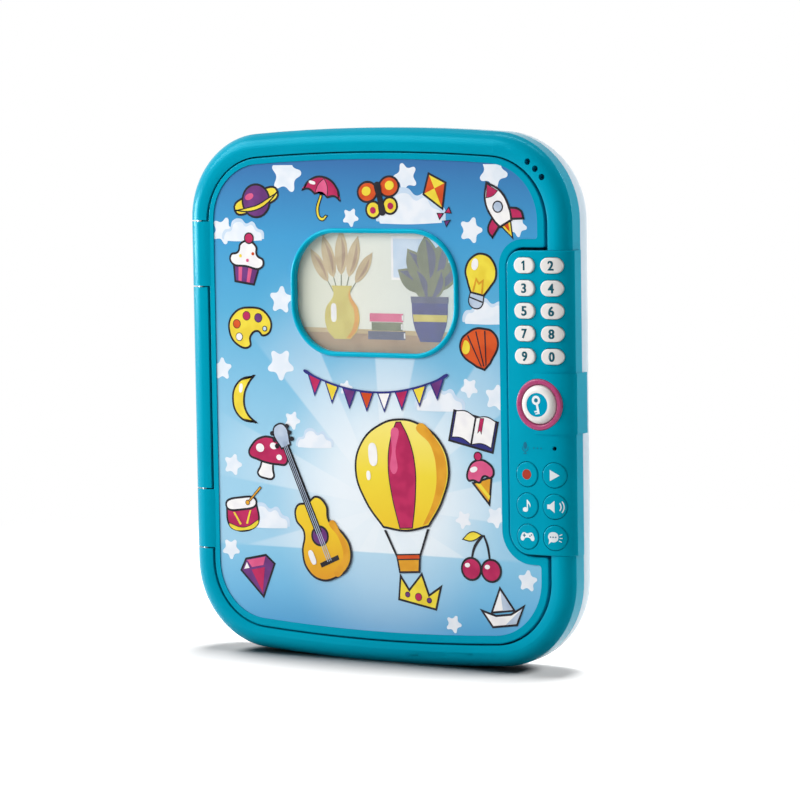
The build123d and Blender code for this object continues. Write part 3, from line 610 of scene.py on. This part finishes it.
class Artwork:
    """Flat printed shapes in one mesh, laid on a surface that faces the front."""

    def __init__(self, name, body, surface, slot, skin=0.05, slices=0.0, step=LAYER):
        self.name, self.body, self.surface, self.slot = name, body, surface, slot
        self.skin, self.slices, self.step = skin, slices, step
        self.mesh = bmesh.new()
        self.colours = []
        self.motif()

    def motif(self, x=0.0, z=0.0, turn=0.0, size=1.0, layer=1, cuts=()):
        """Starts a motif at a place on the surface and on a layer. Cuts trim it at edges of the sheet."""
        self.cuts = cuts
        self.place = (Matrix.Translation((x * MM, 0, z * MM)) @ Matrix.Rotation(math.radians(-turn), 4, "Y")
                      @ Matrix.Diagonal((size, 1, size, 1)))
        self.layer = layer

    def slot_of(self, colour):
        if colour not in self.colours:
            self.colours.append(colour)
        return self.colours.index(colour)

    def lay(self, mesh, colour, edge=0.0, edge_colour="line"):
        """Adds a mesh's shape as the next layer; an edge cuts a band of that width inside its outline."""
        shape = bmesh.new()
        shape.from_mesh(mesh)
        bpy.data.meshes.remove(mesh)
        if not shape.faces:
            bmesh.ops.edgeloop_fill(shape, edges=shape.edges[:])
        bmesh.ops.transform(shape, matrix=self.place, verts=shape.verts[:])
        shape.normal_update()
        bmesh.ops.reverse_faces(shape, faces=[face for face in shape.faces if face.normal.y > 0])
        for face in shape.faces:
            face.material_index = self.slot_of(colour)
        for place, outwards in (SHEET_CUTS[cut] for cut in self.cuts):
            bmesh.ops.bisect_plane(shape, geom=shape.verts[:] + shape.edges[:] + shape.faces[:],
                                   clear_outer=True, plane_co=place, plane_no=outwards)
        if edge:
            band = bmesh.ops.inset_region(shape, faces=shape.faces[:], thickness=edge * MM,
                                          use_even_offset=True, use_boundary=True)
            for face in band["faces"]:
                face.material_index = self.slot_of(edge_colour)
        if self.slices:
            low, high = (pick(v.co.x for v in shape.verts) for pick in (min, max))
            for step in range(1, int((high - low) / (self.slices * MM)) + 1):
                bmesh.ops.bisect_plane(shape, geom=shape.verts[:] + shape.edges[:] + shape.faces[:],
                                       plane_co=(low + step * self.slices * MM, 0, 0), plane_no=(1, 0, 0))
        for vertex in shape.verts:
            vertex.co.y = self.surface(vertex.co.x, vertex.co.z) - self.layer * self.step * MM
        self.layer += 1
        bmesh.ops.solidify(shape, geom=shape.faces[:], thickness=self.skin * MM)
        done = bpy.data.meshes.new("layer")
        shape.to_mesh(done)
        shape.free()
        self.mesh.from_mesh(done)
        bpy.data.meshes.remove(done)

    def draw(self, colour, points, edge=0.0, edge_colour="line"):
        """Lays an outline's shape."""
        self.lay(wire_of(points), colour, edge, edge_colour)

    def draw_all(self, shapes):
        """Lays shapes from back to front, each given as for draw."""
        for shape in shapes:
            self.draw(*shape)

    def write(self, text, colour, height, width, bold=0.0):
        """Digits of a height and width in millimetres, centred on the motif's place."""
        font = bpy.data.curves.new("digits", "FONT")
        font.body = text
        font.offset = bold
        holder = bpy.data.objects.new("digits", font)
        mesh = bpy.data.meshes.new_from_object(holder)
        bpy.data.objects.remove(holder)
        xs, ys = zip(*((v.co.x, v.co.y) for v in mesh.vertices))
        centre = Matrix.Translation((-(min(xs) + max(xs)) / 2, -(min(ys) + max(ys)) / 2, 0))
        tall = height * MM / (max(ys) - min(ys))
        wide = min(width * MM / (max(xs) - min(xs)), tall)
        upright = Matrix.Rotation(math.radians(90), 4, "X")
        mesh.transform(upright @ Matrix.Diagonal((wide, tall, 1, 1)) @ centre)
        self.lay(mesh, colour)

    def finish(self):
        """Makes the object, with one finish for each colour that was used."""
        piece = bpy.data.objects.new(self.name, bpy.data.meshes.new(self.name))
        self.mesh.to_mesh(piece.data)
        self.mesh.free()
        for colour in self.colours:
            piece.data.materials.append(inks[colour])
        bpy.context.collection.objects.link(piece)
        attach(piece, self.body)
        print(self.name, len(piece.data.polygons), "faces")


SHEET_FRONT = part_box("cover_print")[0][1]


def sheet_print(name):
    """An artwork on the printed sheet's flat front."""
    return Artwork(name, "lid", lambda x, z: SHEET_FRONT, "printed_sheet")


# %% [markdown]
# ## Stars and clouds
# Pale stars and clouds lie under everything else on the sheet. The stars are plump: a star's corners joined
# by smooth handles instead of straight ones.

# %% Stars and clouds on the sheet
stars = sheet_print("print_stars")
STARS = [
    (-83, 198, 6.5, 0.4, "left"), (-47, 224, 8.5, 0.2, "top"), (-12, 204.5, 4.4, 0.5), (18, 223, 6.5, 0.9),
    (64, 225, 7.5, 0.5, "top"), (76, 201, 5.0, 0.5), (-51, 166, 6.5, 0.1), (52, 199, 6.0, 0.3),
    (50, 128, 4.6, 0.7), (-52, 136, 7.5, 0.6), (-85, 133, 5.4, 0.0, "left"), (64, 124, 6.0, 0.2, "notch"),
    (-46, 110, 4.4, 0.4), (46, 68, 4.2, 0.8), (-80, 88, 5.2, 0.3), (63, 70, 5.0, 0.5, "notch"),
    (-16, 126, 3.6, 0.2), (-82, 48, 5.0, 0.6), (79, 42, 5.0, 0.1), (40, 20, 4.2, 0.4)]
for x, z, radius, turn, *cuts in STARS:
    stars.motif(cuts=cuts)
    stars.draw("cloud", star(x, z, radius, turn))
CLOUD = [(-13, -3), (-11.5, 1.5), (-8, 2.5), (-6, 6.5), (-1, 7.5), (2.5, 5), (6.5, 6), (9.5, 2.5), (13, 1),
         (13.5, -3, 0), (0, -3.6), (-12.6, -3.4, 0)]
CLOUDS = [
    (-72, 196, 0.8), (20, 206, 1.25), (60, 160, 0.9, "notch"), (-62, 62, 0.9), (34, 120, 0.9),
    (-34, 100, 0.7)]
RIM_GROWTH, RIM_LIFT = 1.12, 1.2  # the paler rim behind a cloud is larger and higher
for x, z, size, *cuts in CLOUDS:
    stars.motif(x, z, size=size, layer=2, cuts=cuts)
    stars.draw("pale", [(px * RIM_GROWTH, pz * RIM_GROWTH + RIM_LIFT, *rest) for px, pz, *rest in CLOUD])
    stars.draw("cloud", CLOUD)
stars.finish()

# %% [markdown]
# ## Small motifs
# The cover is a scatter of bright generic things with dark outlines and a white glint: things of play, sky
# and kitchen. Each is a short list of layers from back to front, in millimetres round its own centre.

# %% What each motif is made of
MOTIFS = {
    "planet": [
        ("yellow", oval(0, 0, 12.2, 3.6), LINE), ("purple", oval(0, 0, 7.4), LINE),
        ("rose", oval(-2.6, 2.8, 2.2, 1.3)),
        ("yellow", even((0, -3.9), (6, -2.9), (12.2, 0, 0), (6, -0.9), (0, -1.6)), 0.6)],
    "umbrella": [
        ("yellow", [(-0.9, 1, 0), (0.9, 1, 0), (0.9, -7.4), (2.6, -9), (4.2, -7.4, 0), (6, -7.6, 0), (3, -11),
            (-0.9, -8.2)], 0.5),
        ("crimson", [(-11, 0, 0), (-8.2, 6), (0, 9.6), (8.2, 6), (11, 0, 0), (7.2, 1.4), (3.6, 0, 0),
            (0, 1.4), (-3.6, 0, 0), (-7.2, 1.4)], LINE),
        ("rose", even((0, 8.8, 0), (2.6, 5.5), (3.6, 0.5, 0), (0, 2)), 0.35),
        ("white", oval(-6, 5.2, 1.8, 0.8))],
    "butterfly": [
        ("orange", oval(-5.4, 3.6, 5.2, 4.6), LINE), ("orange", oval(5.4, 3.6, 5.2, 4.6), LINE),
        ("yellow", oval(-4.2, -4.2, 3.9, 3.9), LINE), ("yellow", oval(4.2, -4.2, 3.9, 3.9), LINE),
        ("yellow", oval(-5.8, 4, 2.2, 1.9)), ("yellow", oval(5.8, 4, 2.2, 1.9)),
        ("crimson", oval(-4.4, -4.4, 1.4)), ("crimson", oval(4.4, -4.4, 1.4)),
        ("line", oval(0, -0.4, 1.2, 7.2))],
    "kite": [
        ("orange", sharp((0, 10.5), (7.4, 2), (0, -9.5), (-7.4, 2)), LINE),
        ("yellow", sharp((0, 9), (6.1, 2), (0, 2))), ("yellow", sharp((0, 2), (0, -7.8), (-6.1, 2))),
        ("crimson", sharp((-3.8, -9), (0, -10.8), (-3.8, -12.8)), 0.4),
        ("crimson", sharp((3.8, -9), (0, -10.8), (3.8, -12.8)), 0.4),
        ("purple", sharp((-1.6, -14), (2.2, -15.2), (-1.8, -17.4)), 0.4)],
    "rocket": [
        ("yellow", even((3, -5.5, 0), (0, -13.5, 0)), 0.6), ("orange", even((1.3, -6, 0), (0, -10, 0))),
        ("crimson", [(-3.4, 0, 0), (-9, -4.4), (-8.6, -8.8, 0), (-3, -6, 0)], LINE),
        ("crimson", [(3.4, 0, 0), (9, -4.4), (8.6, -8.8, 0), (3, -6, 0)], LINE),
        ("white", even((0, 13.5, 0), (4.6, 6.5), (4.8, -2), (3.4, -6.5, 0)), LINE),
        ("crimson", even((0, 12.2, 0), (3.3, 7.2, 0), (0, 6.4)), 0.3), ("silver", oval(0, 1.6, 2.5), 0.6)],
    "cupcake": [
        ("purple", taper(7.2, 0, 5.2, -9), LINE), ("rose", sharp((-4, -1), (-2, -1), (-1.6, -8), (-3.2, -8))),
        ("rose", sharp((1.2, -1), (3.2, -1), (2.6, -8), (1, -8))),
        ("white", even((0, 9.8), (4.4, 7.8), (5.2, 4.4), (8.6, 2.6), (8.2, -1), (0, -1.8)), LINE),
        ("crimson", oval(0, 10.6, 2.5), 0.6), ("yellow", oval(-3.4, 2.6, 0.7)),
        ("orange", oval(2.8, 4.4, 0.7)), ("rose", oval(0.4, 1.2, 0.7))],
    "palette": [
        ("yellow", [(-11, 1), (-7, 7.4), (2, 8.6), (10, 4.6), (11, -2.6), (6, -5), (3.4, -2.6), (0, -4.2),
            (-1, -8.2), (-7, -7.4)], LINE), ("orange", oval(-6.2, 2.4, 2), 0.3),
        ("crimson", oval(-0.6, 5, 2), 0.3), ("purple", oval(5.2, 3.2, 2), 0.3),
        ("white", oval(-6, -3.2, 1.8), 0.3), ("pale", oval(7.6, -1.8, 1.2), 0.4)],
    "moon": [
        ("yellow", [(2, 10.5, 0), (-6, 7), (-8.4, -1), (-3.6, -8.4), (5.6, -9, 0), (-0.4, -5), (-2.2, 1),
            (-0.6, 6.6)], LINE), ("white", oval(-4.6, 4, 0.9, 1.9))],
    "mushroom": [
        ("white", even((3.2, 0, 0), (3.6, -4), (4.4, -8), (0, -9.4)), LINE),
        ("crimson", even((0, 9.4), (4.6, 8.4), (9, 4.4), (10, -0.6), (5, -2.2), (0, -2.6)), LINE),
        ("white", oval(-4.6, 3.4, 2.1, 1.8)), ("white", oval(2, 5.6, 1.8, 1.4)),
        ("white", oval(5.6, 1.4, 1.4, 1.2))],
    "drum": [
        ("crimson", even((8.6, 4.4, 0), (8.2, -5), (4, -7.6), (0, -8.2)), LINE),
        ("yellow", even((0, -6), (8.2, -3.2, 0), (8, -5.2), (0, -7.8)), 0.35),
        ("white", oval(0, 4.6, 8.8, 3.2), LINE),
        ("yellow", sharp((-5, 1.2), (-4, 1), (-1.2, -4.6), (-2.2, -4.8))),
        ("yellow", sharp((5, 1.2), (4, 1), (1.2, -4.6), (2.2, -4.8))),
        ("amber", sharp((3.5, 5.2), (11.4, 11.4), (12.2, 10.4), (4.3, 4.4)), 0.3),
        ("amber", oval(3.6, 4.7, 1.2), 0.3)],
    "gem": [
        ("purple", sharp(*even((5, 8), (8.6, 3.6), (0, -9))), LINE),
        ("rose", sharp(*even((2.8, 3.9), (4.4, 7)))), ("crimson", sharp((-3.2, 3), (3.2, 3), (0, -6.6))),
        ("white", sharp((-6.6, 3.8), (-4.7, 6.2), (-4, 3.8)))],
    "cherries": [
        ("line", [(-4, 0, 0), (-3.2, 0, 0), (-1, 5), (3.4, 9.6, 0), (2.6, 10, 0), (-1.8, 6)]),
        ("line", [(4.4, -1, 0), (5.2, -1, 0), (5, 5), (3.6, 9.8, 0), (2.8, 9.8, 0), (4, 5)]),
        ("crimson", oval(-4, -3.2, 4.8), LINE), ("crimson", oval(5, -4.4, 4.8), LINE),
        ("white", oval(-5.6, -1.6, 1.2, 0.9)), ("white", oval(3.4, -2.8, 1.2, 0.9)),
        ("yellow", [(3, 9.8, 0), (-2, 11.6), (-7, 8.6, 0), (-2.4, 7.6)], 0.5)],
    "bulb": [
        ("yellow", even((0, 11.4), (4.6, 9.6), (7.4, 3.6), (5.4, -1.6), (3.2, -5.4, 0)), LINE),
        ("silver", even((3.4, -4.8, 0), (3, -9.6), (0, -11)), 0.6),
        ("line", sharp((-3, -6.6), (3, -7.3), (3, -7.9), (-3, -7.2))), ("white", oval(-3.2, 6.2, 1.5, 2.3)),
        ("amber", sharp(*even((0, -0.4), (1.8, 1.4), (2.4, -4.6), (1.7, -4.6), (1.3, 0), (0, -1.4))))],
    "shell": [
        ("orange", even((0, 9.6), (4.2, 8.6), (8, 6.4), (9.4, 1), (3.6, -6.4, 0), (0, -8.6, 0)), LINE),
        ("line", taper(0.3, -6.6, 0.3, 8)),
        ("line", [(-1.4, -6.4, 0), (-0.9, -6.6, 0), (-3.9, 7.4, 0), (-4.5, 7.2, 0)]),
        ("line", [(1.4, -6.4, 0), (0.9, -6.6, 0), (3.9, 7.4, 0), (4.5, 7.2, 0)]),
        ("yellow", [(-7.8, 0.4), (-7, 4.6), (-5.6, 5.6), (-5, 1)])],
    "book": [
        ("navy", block(-11, 6.2, 11, -7.4), LINE),
        ("white", [(0, 5.4, 0), (-5, 7), (-9.8, 6, 0), (-9.8, -5.6, 0), (-5, -4.8), (0, -6.4, 0)], 0.5),
        ("white", [(0, 5.4, 0), (5, 7), (9.8, 6, 0), (9.8, -5.6, 0), (5, -4.8), (0, -6.4, 0)], 0.5),
        ("crimson", sharp((2, 5.6), (4, 6), (4, -1), (3, 0.4), (2, -1)), 0.25)],
    "cone": [
        ("amber", sharp((-5.6, 0), (5.6, 0), (0, -12.5)), LINE),
        ("yellow", sharp((-3.4, -1), (-1.6, -1), (1.6, -8), (0.6, -9.4))),
        ("rose", [(-7, 1), (-5.4, 6.2), (0, 8.8), (5.4, 6.2), (7, 1), (4.2, -1.2), (1.4, 0.4), (-1.6, -1.6),
            (-4.4, 0.2)], LINE), ("white", oval(-2.6, 5, 1.9, 1.2)), ("crimson", oval(1.2, 9.8, 2.1), 0.5)],
    "crown": [
        ("yellow", sharp(*even((0, 8.6), (5.2, 0), (11, 5.6), (10, -6.4))), LINE),
        ("crimson", oval(0, -2.6, 1.8), 0.3), ("purple", oval(-5.6, -2.8, 1.3), 0.3),
        ("purple", oval(5.6, -2.8, 1.3), 0.3)],
    "boat": [
        ("white", sharp(*even((0, 10), (6.2, -1))), LINE),
        ("silver", sharp((0, 8.2), (4.6, -0.2), (0, -0.2))),
        ("white", sharp(*even((6, -7), (11, 1.6), (3.5, -1.6))), LINE),
        ("silver", sharp((9.3, 0), (5.4, -6), (0.5, -6)))],
}

# %% Scatter them on the sheet
scatter = sheet_print("print_motifs")
PLACES = [
    ("planet", -64, 212, 20, 1.1), ("umbrella", -28, 214, -14, 1.0), ("butterfly", 4, 213.5, 12, 1.1),
    ("kite", 34, 216, 24, 0.95), ("rocket", 67, 208, 28, 1.1), ("cupcake", -70, 183, -8, 1.1),
    ("palette", -69, 153, 10, 1.1), ("moon", -70, 119, -8, 1.15), ("mushroom", -60, 92, -10, 1.1),
    ("drum", -75, 65, 8, 1.05), ("gem", -66, 36, 12, 1.2), ("bulb", 56, 176, -12, 1.15),
    ("shell", 56, 145, 14, 1.1), ("book", 52, 109, -12, 1.1), ("cone", 56, 87, 18, 1.05),
    ("cherries", 54, 50, 6, 1.15), ("crown", 22, 34, -10, 1.05), ("boat", 66, 28, 8, 1.1)]
for name, x, z, turn, size in PLACES:
    scatter.motif(x, z, turn, size, layer=4)
    scatter.draw_all(MOTIFS[name])
scatter.finish()

# %% [markdown]
# ## The two big motifs and the bunting
# The lower half of the cover is held by two large golden things: a hot-air balloon and a guitar. A string of
# little flags fills the space under the window.

# %% Balloon, guitar and bunting
balloon = sheet_print("print_balloon")
balloon.motif(14, 86, 4, layer=12)
for side in (-1, 1):
    balloon.draw("line", sharp((side * 11, -24), (side * 12.2, -24), (side * 6.4, -37), (side * 5.4, -37)))
balloon.draw_all([
    ("amber", taper(6.6, -36, 5.6, -44), 0.9), ("orange", taper(6.6, -35.2, 6.4, -38), 0.6),
    ("gold_fade", even((0, 27), (10, 25), (21, 17), (25.5, 4), (21, -11), (12.5, -23, 0), (0, -25)), 1),
    ("amber", [(9, -22.4, 0), (12, -21.2, 0), (19.6, -10.6), (24, 4), (19.6, 16.6), (10, 23.7), (16.4, 14),
        (18.4, 2), (16, -10)]),
    ("crimson", even((3.6, -23.6, 0), (6.6, -8), (7.4, 6), (5, 18), (1.4, 25.6, 0)), 0.5),
    ("rose", [(-1.8, 23), (-4.6, 12), (-5.2, 2), (-3.4, 2), (-2.6, 12)]), ("white", oval(-15, 11, 2.4, 5.4)),
    ("white", oval(-18.2, 1.4, 1.1, 2.2))])
balloon.finish()

guitar = sheet_print("print_guitar")
guitar.motif(-32, 58, 24, layer=12)
guitar.draw("silver", taper(2.1, 8, 1.7, 44), 0.7)
guitar.draw("silver", even((3, 43, 0), (3.8, 53), (0, 55)), 0.8)
for side in (-1, 1):
    for step in range(3):
        guitar.draw("line", oval(side * 4.6, 45.5 + 3.2 * step, 1.1))
guitar.draw_all([
    ("gold_fade", even((0, 15.6), (6, 16.4), (9.6, 10.5), (8, 3.4), (12.6, -4.6), (13.6, -13), (8.6, -20.6),
        (0, -22.6)), 1),
    ("amber", [(8.2, 3), (11.4, -5), (12.2, -13), (7.6, -19.4), (0, -21.3), (8, -14.6), (9.2, -6)]),
    ("line", oval(0, -1.4, 4.9)), ("purple", oval(0, -1.4, 3.9)), ("line", block(-5.4, -13, 5.4, -15.2)),
    ("line", taper(1.9, 0, 1.6, 43))])
for step in range(-1, 2):
    guitar.draw("silver", sharp((step * 1.05 - 0.16, -14), (step * 1.05 + 0.16, -14), (step * 0.9 + 0.14, 46),
                                (step * 0.9 - 0.14, 46)))
guitar.draw("white", oval(-8.2, -9, 1.5, 3.6))
guitar.finish()

bunting = sheet_print("print_bunting")
bunting.motif(layer=10)
FLAGS = ("crimson", "yellow", "purple", "orange", "white", "crimson", "yellow", "purple")
FIRST_FLAG, FLAG_PITCH, FLAG_HALF, FLAG_DROP = -33.2, 9.5, 3.9, 9.4
STRING_LOW, STRING_SAG, STRING_HALF = 124.5, 8.5, 38
STRING_OVER, STRING_UNDER = 0.45, -0.35  # the string's edges over and under its middle line


def string_height(x, above=0.0):
    """The sagging string: lowest in the middle."""
    return STRING_LOW + STRING_SAG * (x / STRING_HALF) ** 2 + above


for i, colour in enumerate(FLAGS):
    x = FIRST_FLAG + FLAG_PITCH * i
    top = [(end, string_height(end)) for end in (x - FLAG_HALF, x + FLAG_HALF)]
    bunting.draw(colour, sharp(*top, (x, string_height(x, -FLAG_DROP))), 0.65, "navy")
chord = [-39 + 6 * i for i in range(14)]
bunting.draw("navy", [(x, string_height(x, STRING_OVER)) for x in chord]
             + [(x, string_height(x, STRING_UNDER)) for x in reversed(chord)])
bunting.finish()

# %% [markdown]
# ## The picture in the window
# The window holds a card for the owner's own picture. A still life stands in for it: a vase with dry grass,
# books and a potted plant against a pale wall, drawn with the same builder in softer colours and without
# outlines.

# %% Still life on the picture card
CARD_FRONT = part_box("picture_card")[0][1]
still = Artwork("window_picture", "lid", lambda x, z: CARD_FRONT, "picture_paper", skin=0.04, step=0.006)
still.draw_all([
    ("pale", block(8, 176, 34, 196), 1.1, "white"),
    ("wood", sharp((-43, 142.5), (43, 142.5), (43, 150.5), (-43, 151.5))),
    ("straw", sharp((-43, 151.5), (43, 150.5), (43, 152.6), (-43, 153.6)))])
GRASSES = [
    (-31, 182, 32, 1), (-26, 186, 16, 1.15), (-19, 188, -1, 1.2), (-12.5, 186, -16, 1.1),
    (-7, 181, -34, 0.95)]
for i, (x, z, turn, size) in enumerate(GRASSES):
    still.motif(x, z, turn, size, layer=4 + 3 * i)
    still.draw_all([
        ("olive", taper(0.25, -22, 0.2, 4)), ("straw", even((0, -8.5, 0), (1.8, -6), (2.6, 3), (0, 9.5, 0))),
        ("wood", [(0, 6.5, 0), (0.3, -1), (0, -7, 0), (1.3, -4), (1.7, 2)])])
still.motif(layer=19)
still.draw_all([
    ("lemon", [(-24.6, 173, 0), (-13.4, 173, 0), (-14.4, 169), (-10, 162), (-10.6, 153), (-14.6, 148.4, 0),
        (-23.4, 148.4, 0), (-27.4, 153), (-28, 162), (-23.6, 169)]),
    ("amber", [(-14.6, 172.4, 0), (-15.4, 168), (-12.4, 161), (-13.6, 153), (-17, 148.8, 0),
        (-14.8, 148.6, 0), (-10.8, 153.4), (-10.3, 162), (-14.4, 169)]),
    ("white", oval(-23.6, 160.5, 1.5, 4.4))])
still.motif(layer=19)
TABLE_TOP, BOOK_PITCH, BOOK_HEIGHT, COVER = 148.6, 4.1, 3.8, 0.7
for i, (left_end, right_end, colour) in enumerate([(-5, 15, "slate"), (-3, 13.5, "olive"), (-4, 14, "rose")]):
    low = TABLE_TOP + BOOK_PITCH * i
    high = low + BOOK_HEIGHT
    still.draw(colour, block(left_end, low, right_end, high))
    still.draw("white", block(right_end - COVER, low + COVER, right_end, high - COVER))
LEAVES = [
    (19, 176, 58, 1), (37, 178, -46, 1.05), (22, 182, 32, 1.1), (33, 184, -20, 1.1), (27.5, 186, 6, 1.2),
    (24, 174, 20, 0.9), (32, 174, -24, 0.9)]
for i, (x, z, turn, size) in enumerate(LEAVES):
    still.motif(x, z, turn, size, layer=4 + 2 * i)
    still.draw("olive", even((0, -10, 0), (4.4, -3), (4.2, 3), (0, 9, 0)))
    still.draw("slate", [(0, 7.6, 0), (0.2, -4), (0, -9, 0), (3.2, -2.4), (3.2, 2.6)])
still.motif(layer=19)
still.draw_all([
    ("navy", [(18.6, 167, 0), (38, 167, 0), (37, 156), (33.6, 148, 0), (23, 148, 0), (19.6, 156)]),
    ("slate", [(18.2, 168.6, 0), (38.4, 168.6, 0), (38.2, 165.6, 0), (18.4, 165.6, 0)]),
    ("lemon", [(19.3, 160.4, 0), (37.6, 160.4, 0), (37.2, 157.2, 0), (19.7, 157.2, 0)])])
still.finish()

# %% [markdown]
# ## Digits and symbols on the keys
# The digits come from Blender's own font, narrowed and a little bolder; the plain 1 is drawn from its
# corners. The key tops follow the keypad's arch, so each digit is cut into narrow strips and every corner is
# dropped onto the key with a ray. That keeps the print on the curved surface wherever it lies.

# %% Digits
COLUMNS = (81.0, 94.6)  # X of the two columns of keys, in mm
TOP_ROW, PITCH = 183.7, 10.1  # Z of the top row, and the step down to the next
DIGIT_HEIGHT, DIGIT_WIDTH = 4.3, 2.6
THICKEN = 0.14  # each digit is printed twice, this far to the left and to the right
SLICE = 0.5  # width of a strip that follows a key's curved top
ONE = sharp((-0.9, 1.35), (0.0, 2.15), (0.45, 2.15), (0.45, -2.15), (-0.15, -2.15), (-0.15, 1.2),
            (-0.9, 0.75))
for i, digit in enumerate("1234567890"):
    key = f"key_{digit}"
    print_on_key = Artwork(f"digit_{digit}", key, facing(key), "badge_plastic", slices=SLICE)
    for layer, shift in enumerate((-THICKEN, THICKEN), start=1):
        print_on_key.motif(COLUMNS[i % 2] + shift, TOP_ROW - PITCH * (i // 2), layer=layer)
        if digit == "1":
            print_on_key.draw("deep_teal", ONE)
        else:
            print_on_key.write(digit, "deep_teal", DIGIT_HEIGHT, DIGIT_WIDTH, bold=0.02)
    print_on_key.finish()

# %% Symbols on the round keys
MARK = "key_white"  # the ink of the white signs
WAVE_X, WAVE_WIDTH = 0.4, 0.5


def wave(radius):
    """A sound wave: a curved strip round a point near the loudspeaker."""
    inner, outer = ([(r * math.sin(a) + WAVE_X, r * math.cos(a)) for a in (0.9, 1.25, 1.57, 1.9, 2.25)]
                    for r in (radius, radius + WAVE_WIDTH))
    return [(*inner[0], 0), *inner[1:-1], (*inner[-1], 0), (*outer[-1], 0), *reversed(outer[1:-1]),
            (*outer[0], 0)]


SYMBOLS = {
    "record": (90.5, 0, [
        ("red", oval(0, 0, 2.3))]),
    "play": (90.5, 1, [
        (MARK, sharp((-1.9, 2.5), (2.7, 0), (-1.9, -2.5)))]),
    "music": (76.5, 0, [
        (MARK, oval(-0.9, -1.8, 1.35, 1.05)), (MARK, block(-0.15, -1.8, 0.45, 2.6)),
        (MARK, [(0.1, 2.6, 0), (1.2, 1.6), (1.8, 0.2), (1.5, -0.8, 0), (1.1, 0.5), (0.1, 1.2, 0)])]),
    "volume": (76.5, 1, [
        (MARK, sharp((-3.3, 1), (-2, 1), (0.2, 2.7), (0.2, -2.7), (-2, -1), (-3.3, -1))), (MARK, wave(2.5)),
        (MARK, wave(3.8))]),
    "game": (62.5, 0, [
        (MARK, even((0, 1.5), (2.2, 1.9), (3.2, 0.6), (3.4, -1.4), (2.4, -1.8), (1.2, -0.6))),
        ("teal", block(-2.5, 0.85, -0.9, 0.4)), ("teal", block(-1.93, 1.43, -1.47, -0.17)),
        ("teal", oval(1.3, 0.35, 0.33)), ("teal", oval(2.15, 0.95, 0.33))]),
    "voice": (62.5, 1, [
        (MARK, [(-3.1, 0.4), (-2.4, 2.1), (-0.6, 2.7), (1.2, 2.1), (1.8, 0.4), (1.2, -1.2), (-0.4, -1.9),
            (-1.6, -1.8), (-2.9, -2.9, 0), (-2.6, -1)]), ("teal", oval(-1.9, 0.4, 0.34)),
        ("teal", oval(-0.65, 0.4, 0.34)), ("teal", oval(0.6, 0.4, 0.34)),
        (MARK, sharp((2.3, 1.4), (3.5, 1.9), (3.6, 1.5), (2.4, 1))), (MARK, block(2.4, 0.2, 3.7, -0.2)),
        (MARK, sharp((2.3, -1), (3.4, -1.5), (3.3, -1.9), (2.1, -1.4)))]),
}
for name, (row, column, shapes) in SYMBOLS.items():
    key = f"{name}_key"
    symbol = Artwork(f"symbol_{name}", key, facing(key), "white_plastic", slices=SLICE)
    symbol.motif(COLUMNS[column], row)
    symbol.draw_all(shapes)
    symbol.finish()

# %% [markdown]
# ## Marks on the panel and the button
# A small microphone mark and three dots point to the microphone hole, in a darker tone of the panel's own
# colour. The button's disc carries a plain white key, the usual sign for unlocking.

# %% Microphone mark and key sign
marks = Artwork("microphone_mark", "case", facing("keypad_panel"), "teal_plastic", slices=SLICE)
marks.motif(80.2, 102.4)
marks.draw_all([
    ("teal", even((0, 2.6), (0.8, 1.9), (0.8, 0), (0, -0.7))),
    ("teal", even((0, -1.4), (1.0, -0.9), (1.4, 0.4, 0), (1.7, 0.4, 0), (1.3, -1.2), (0, -1.8))),
    ("teal", block(-0.15, -1.6, 0.15, -2.5)), ("teal", block(-0.9, -2.4, 0.9, -2.8))])
for i in range(3):
    marks.draw("teal", oval(4.4 + 1.9 * i, 0, 0.33))
marks.finish()

sign = Artwork("unlock_sign", "unlock_button", facing("unlock_badge"), "white_plastic")
sign.motif(LOCK[0] / MM, LOCK[1] / MM, 12)
sign.draw_all([
    (MARK, block(-0.55, 1, 0.55, -4.1)), (MARK, block(-1.9, -2.4, -0.4, -3.1)),
    (MARK, block(-1.6, -3.5, -0.4, -4.1)), (MARK, oval(0, 2.1, 2.1)), ("teal", oval(0, 2.1, 0.95))])
sign.finish()
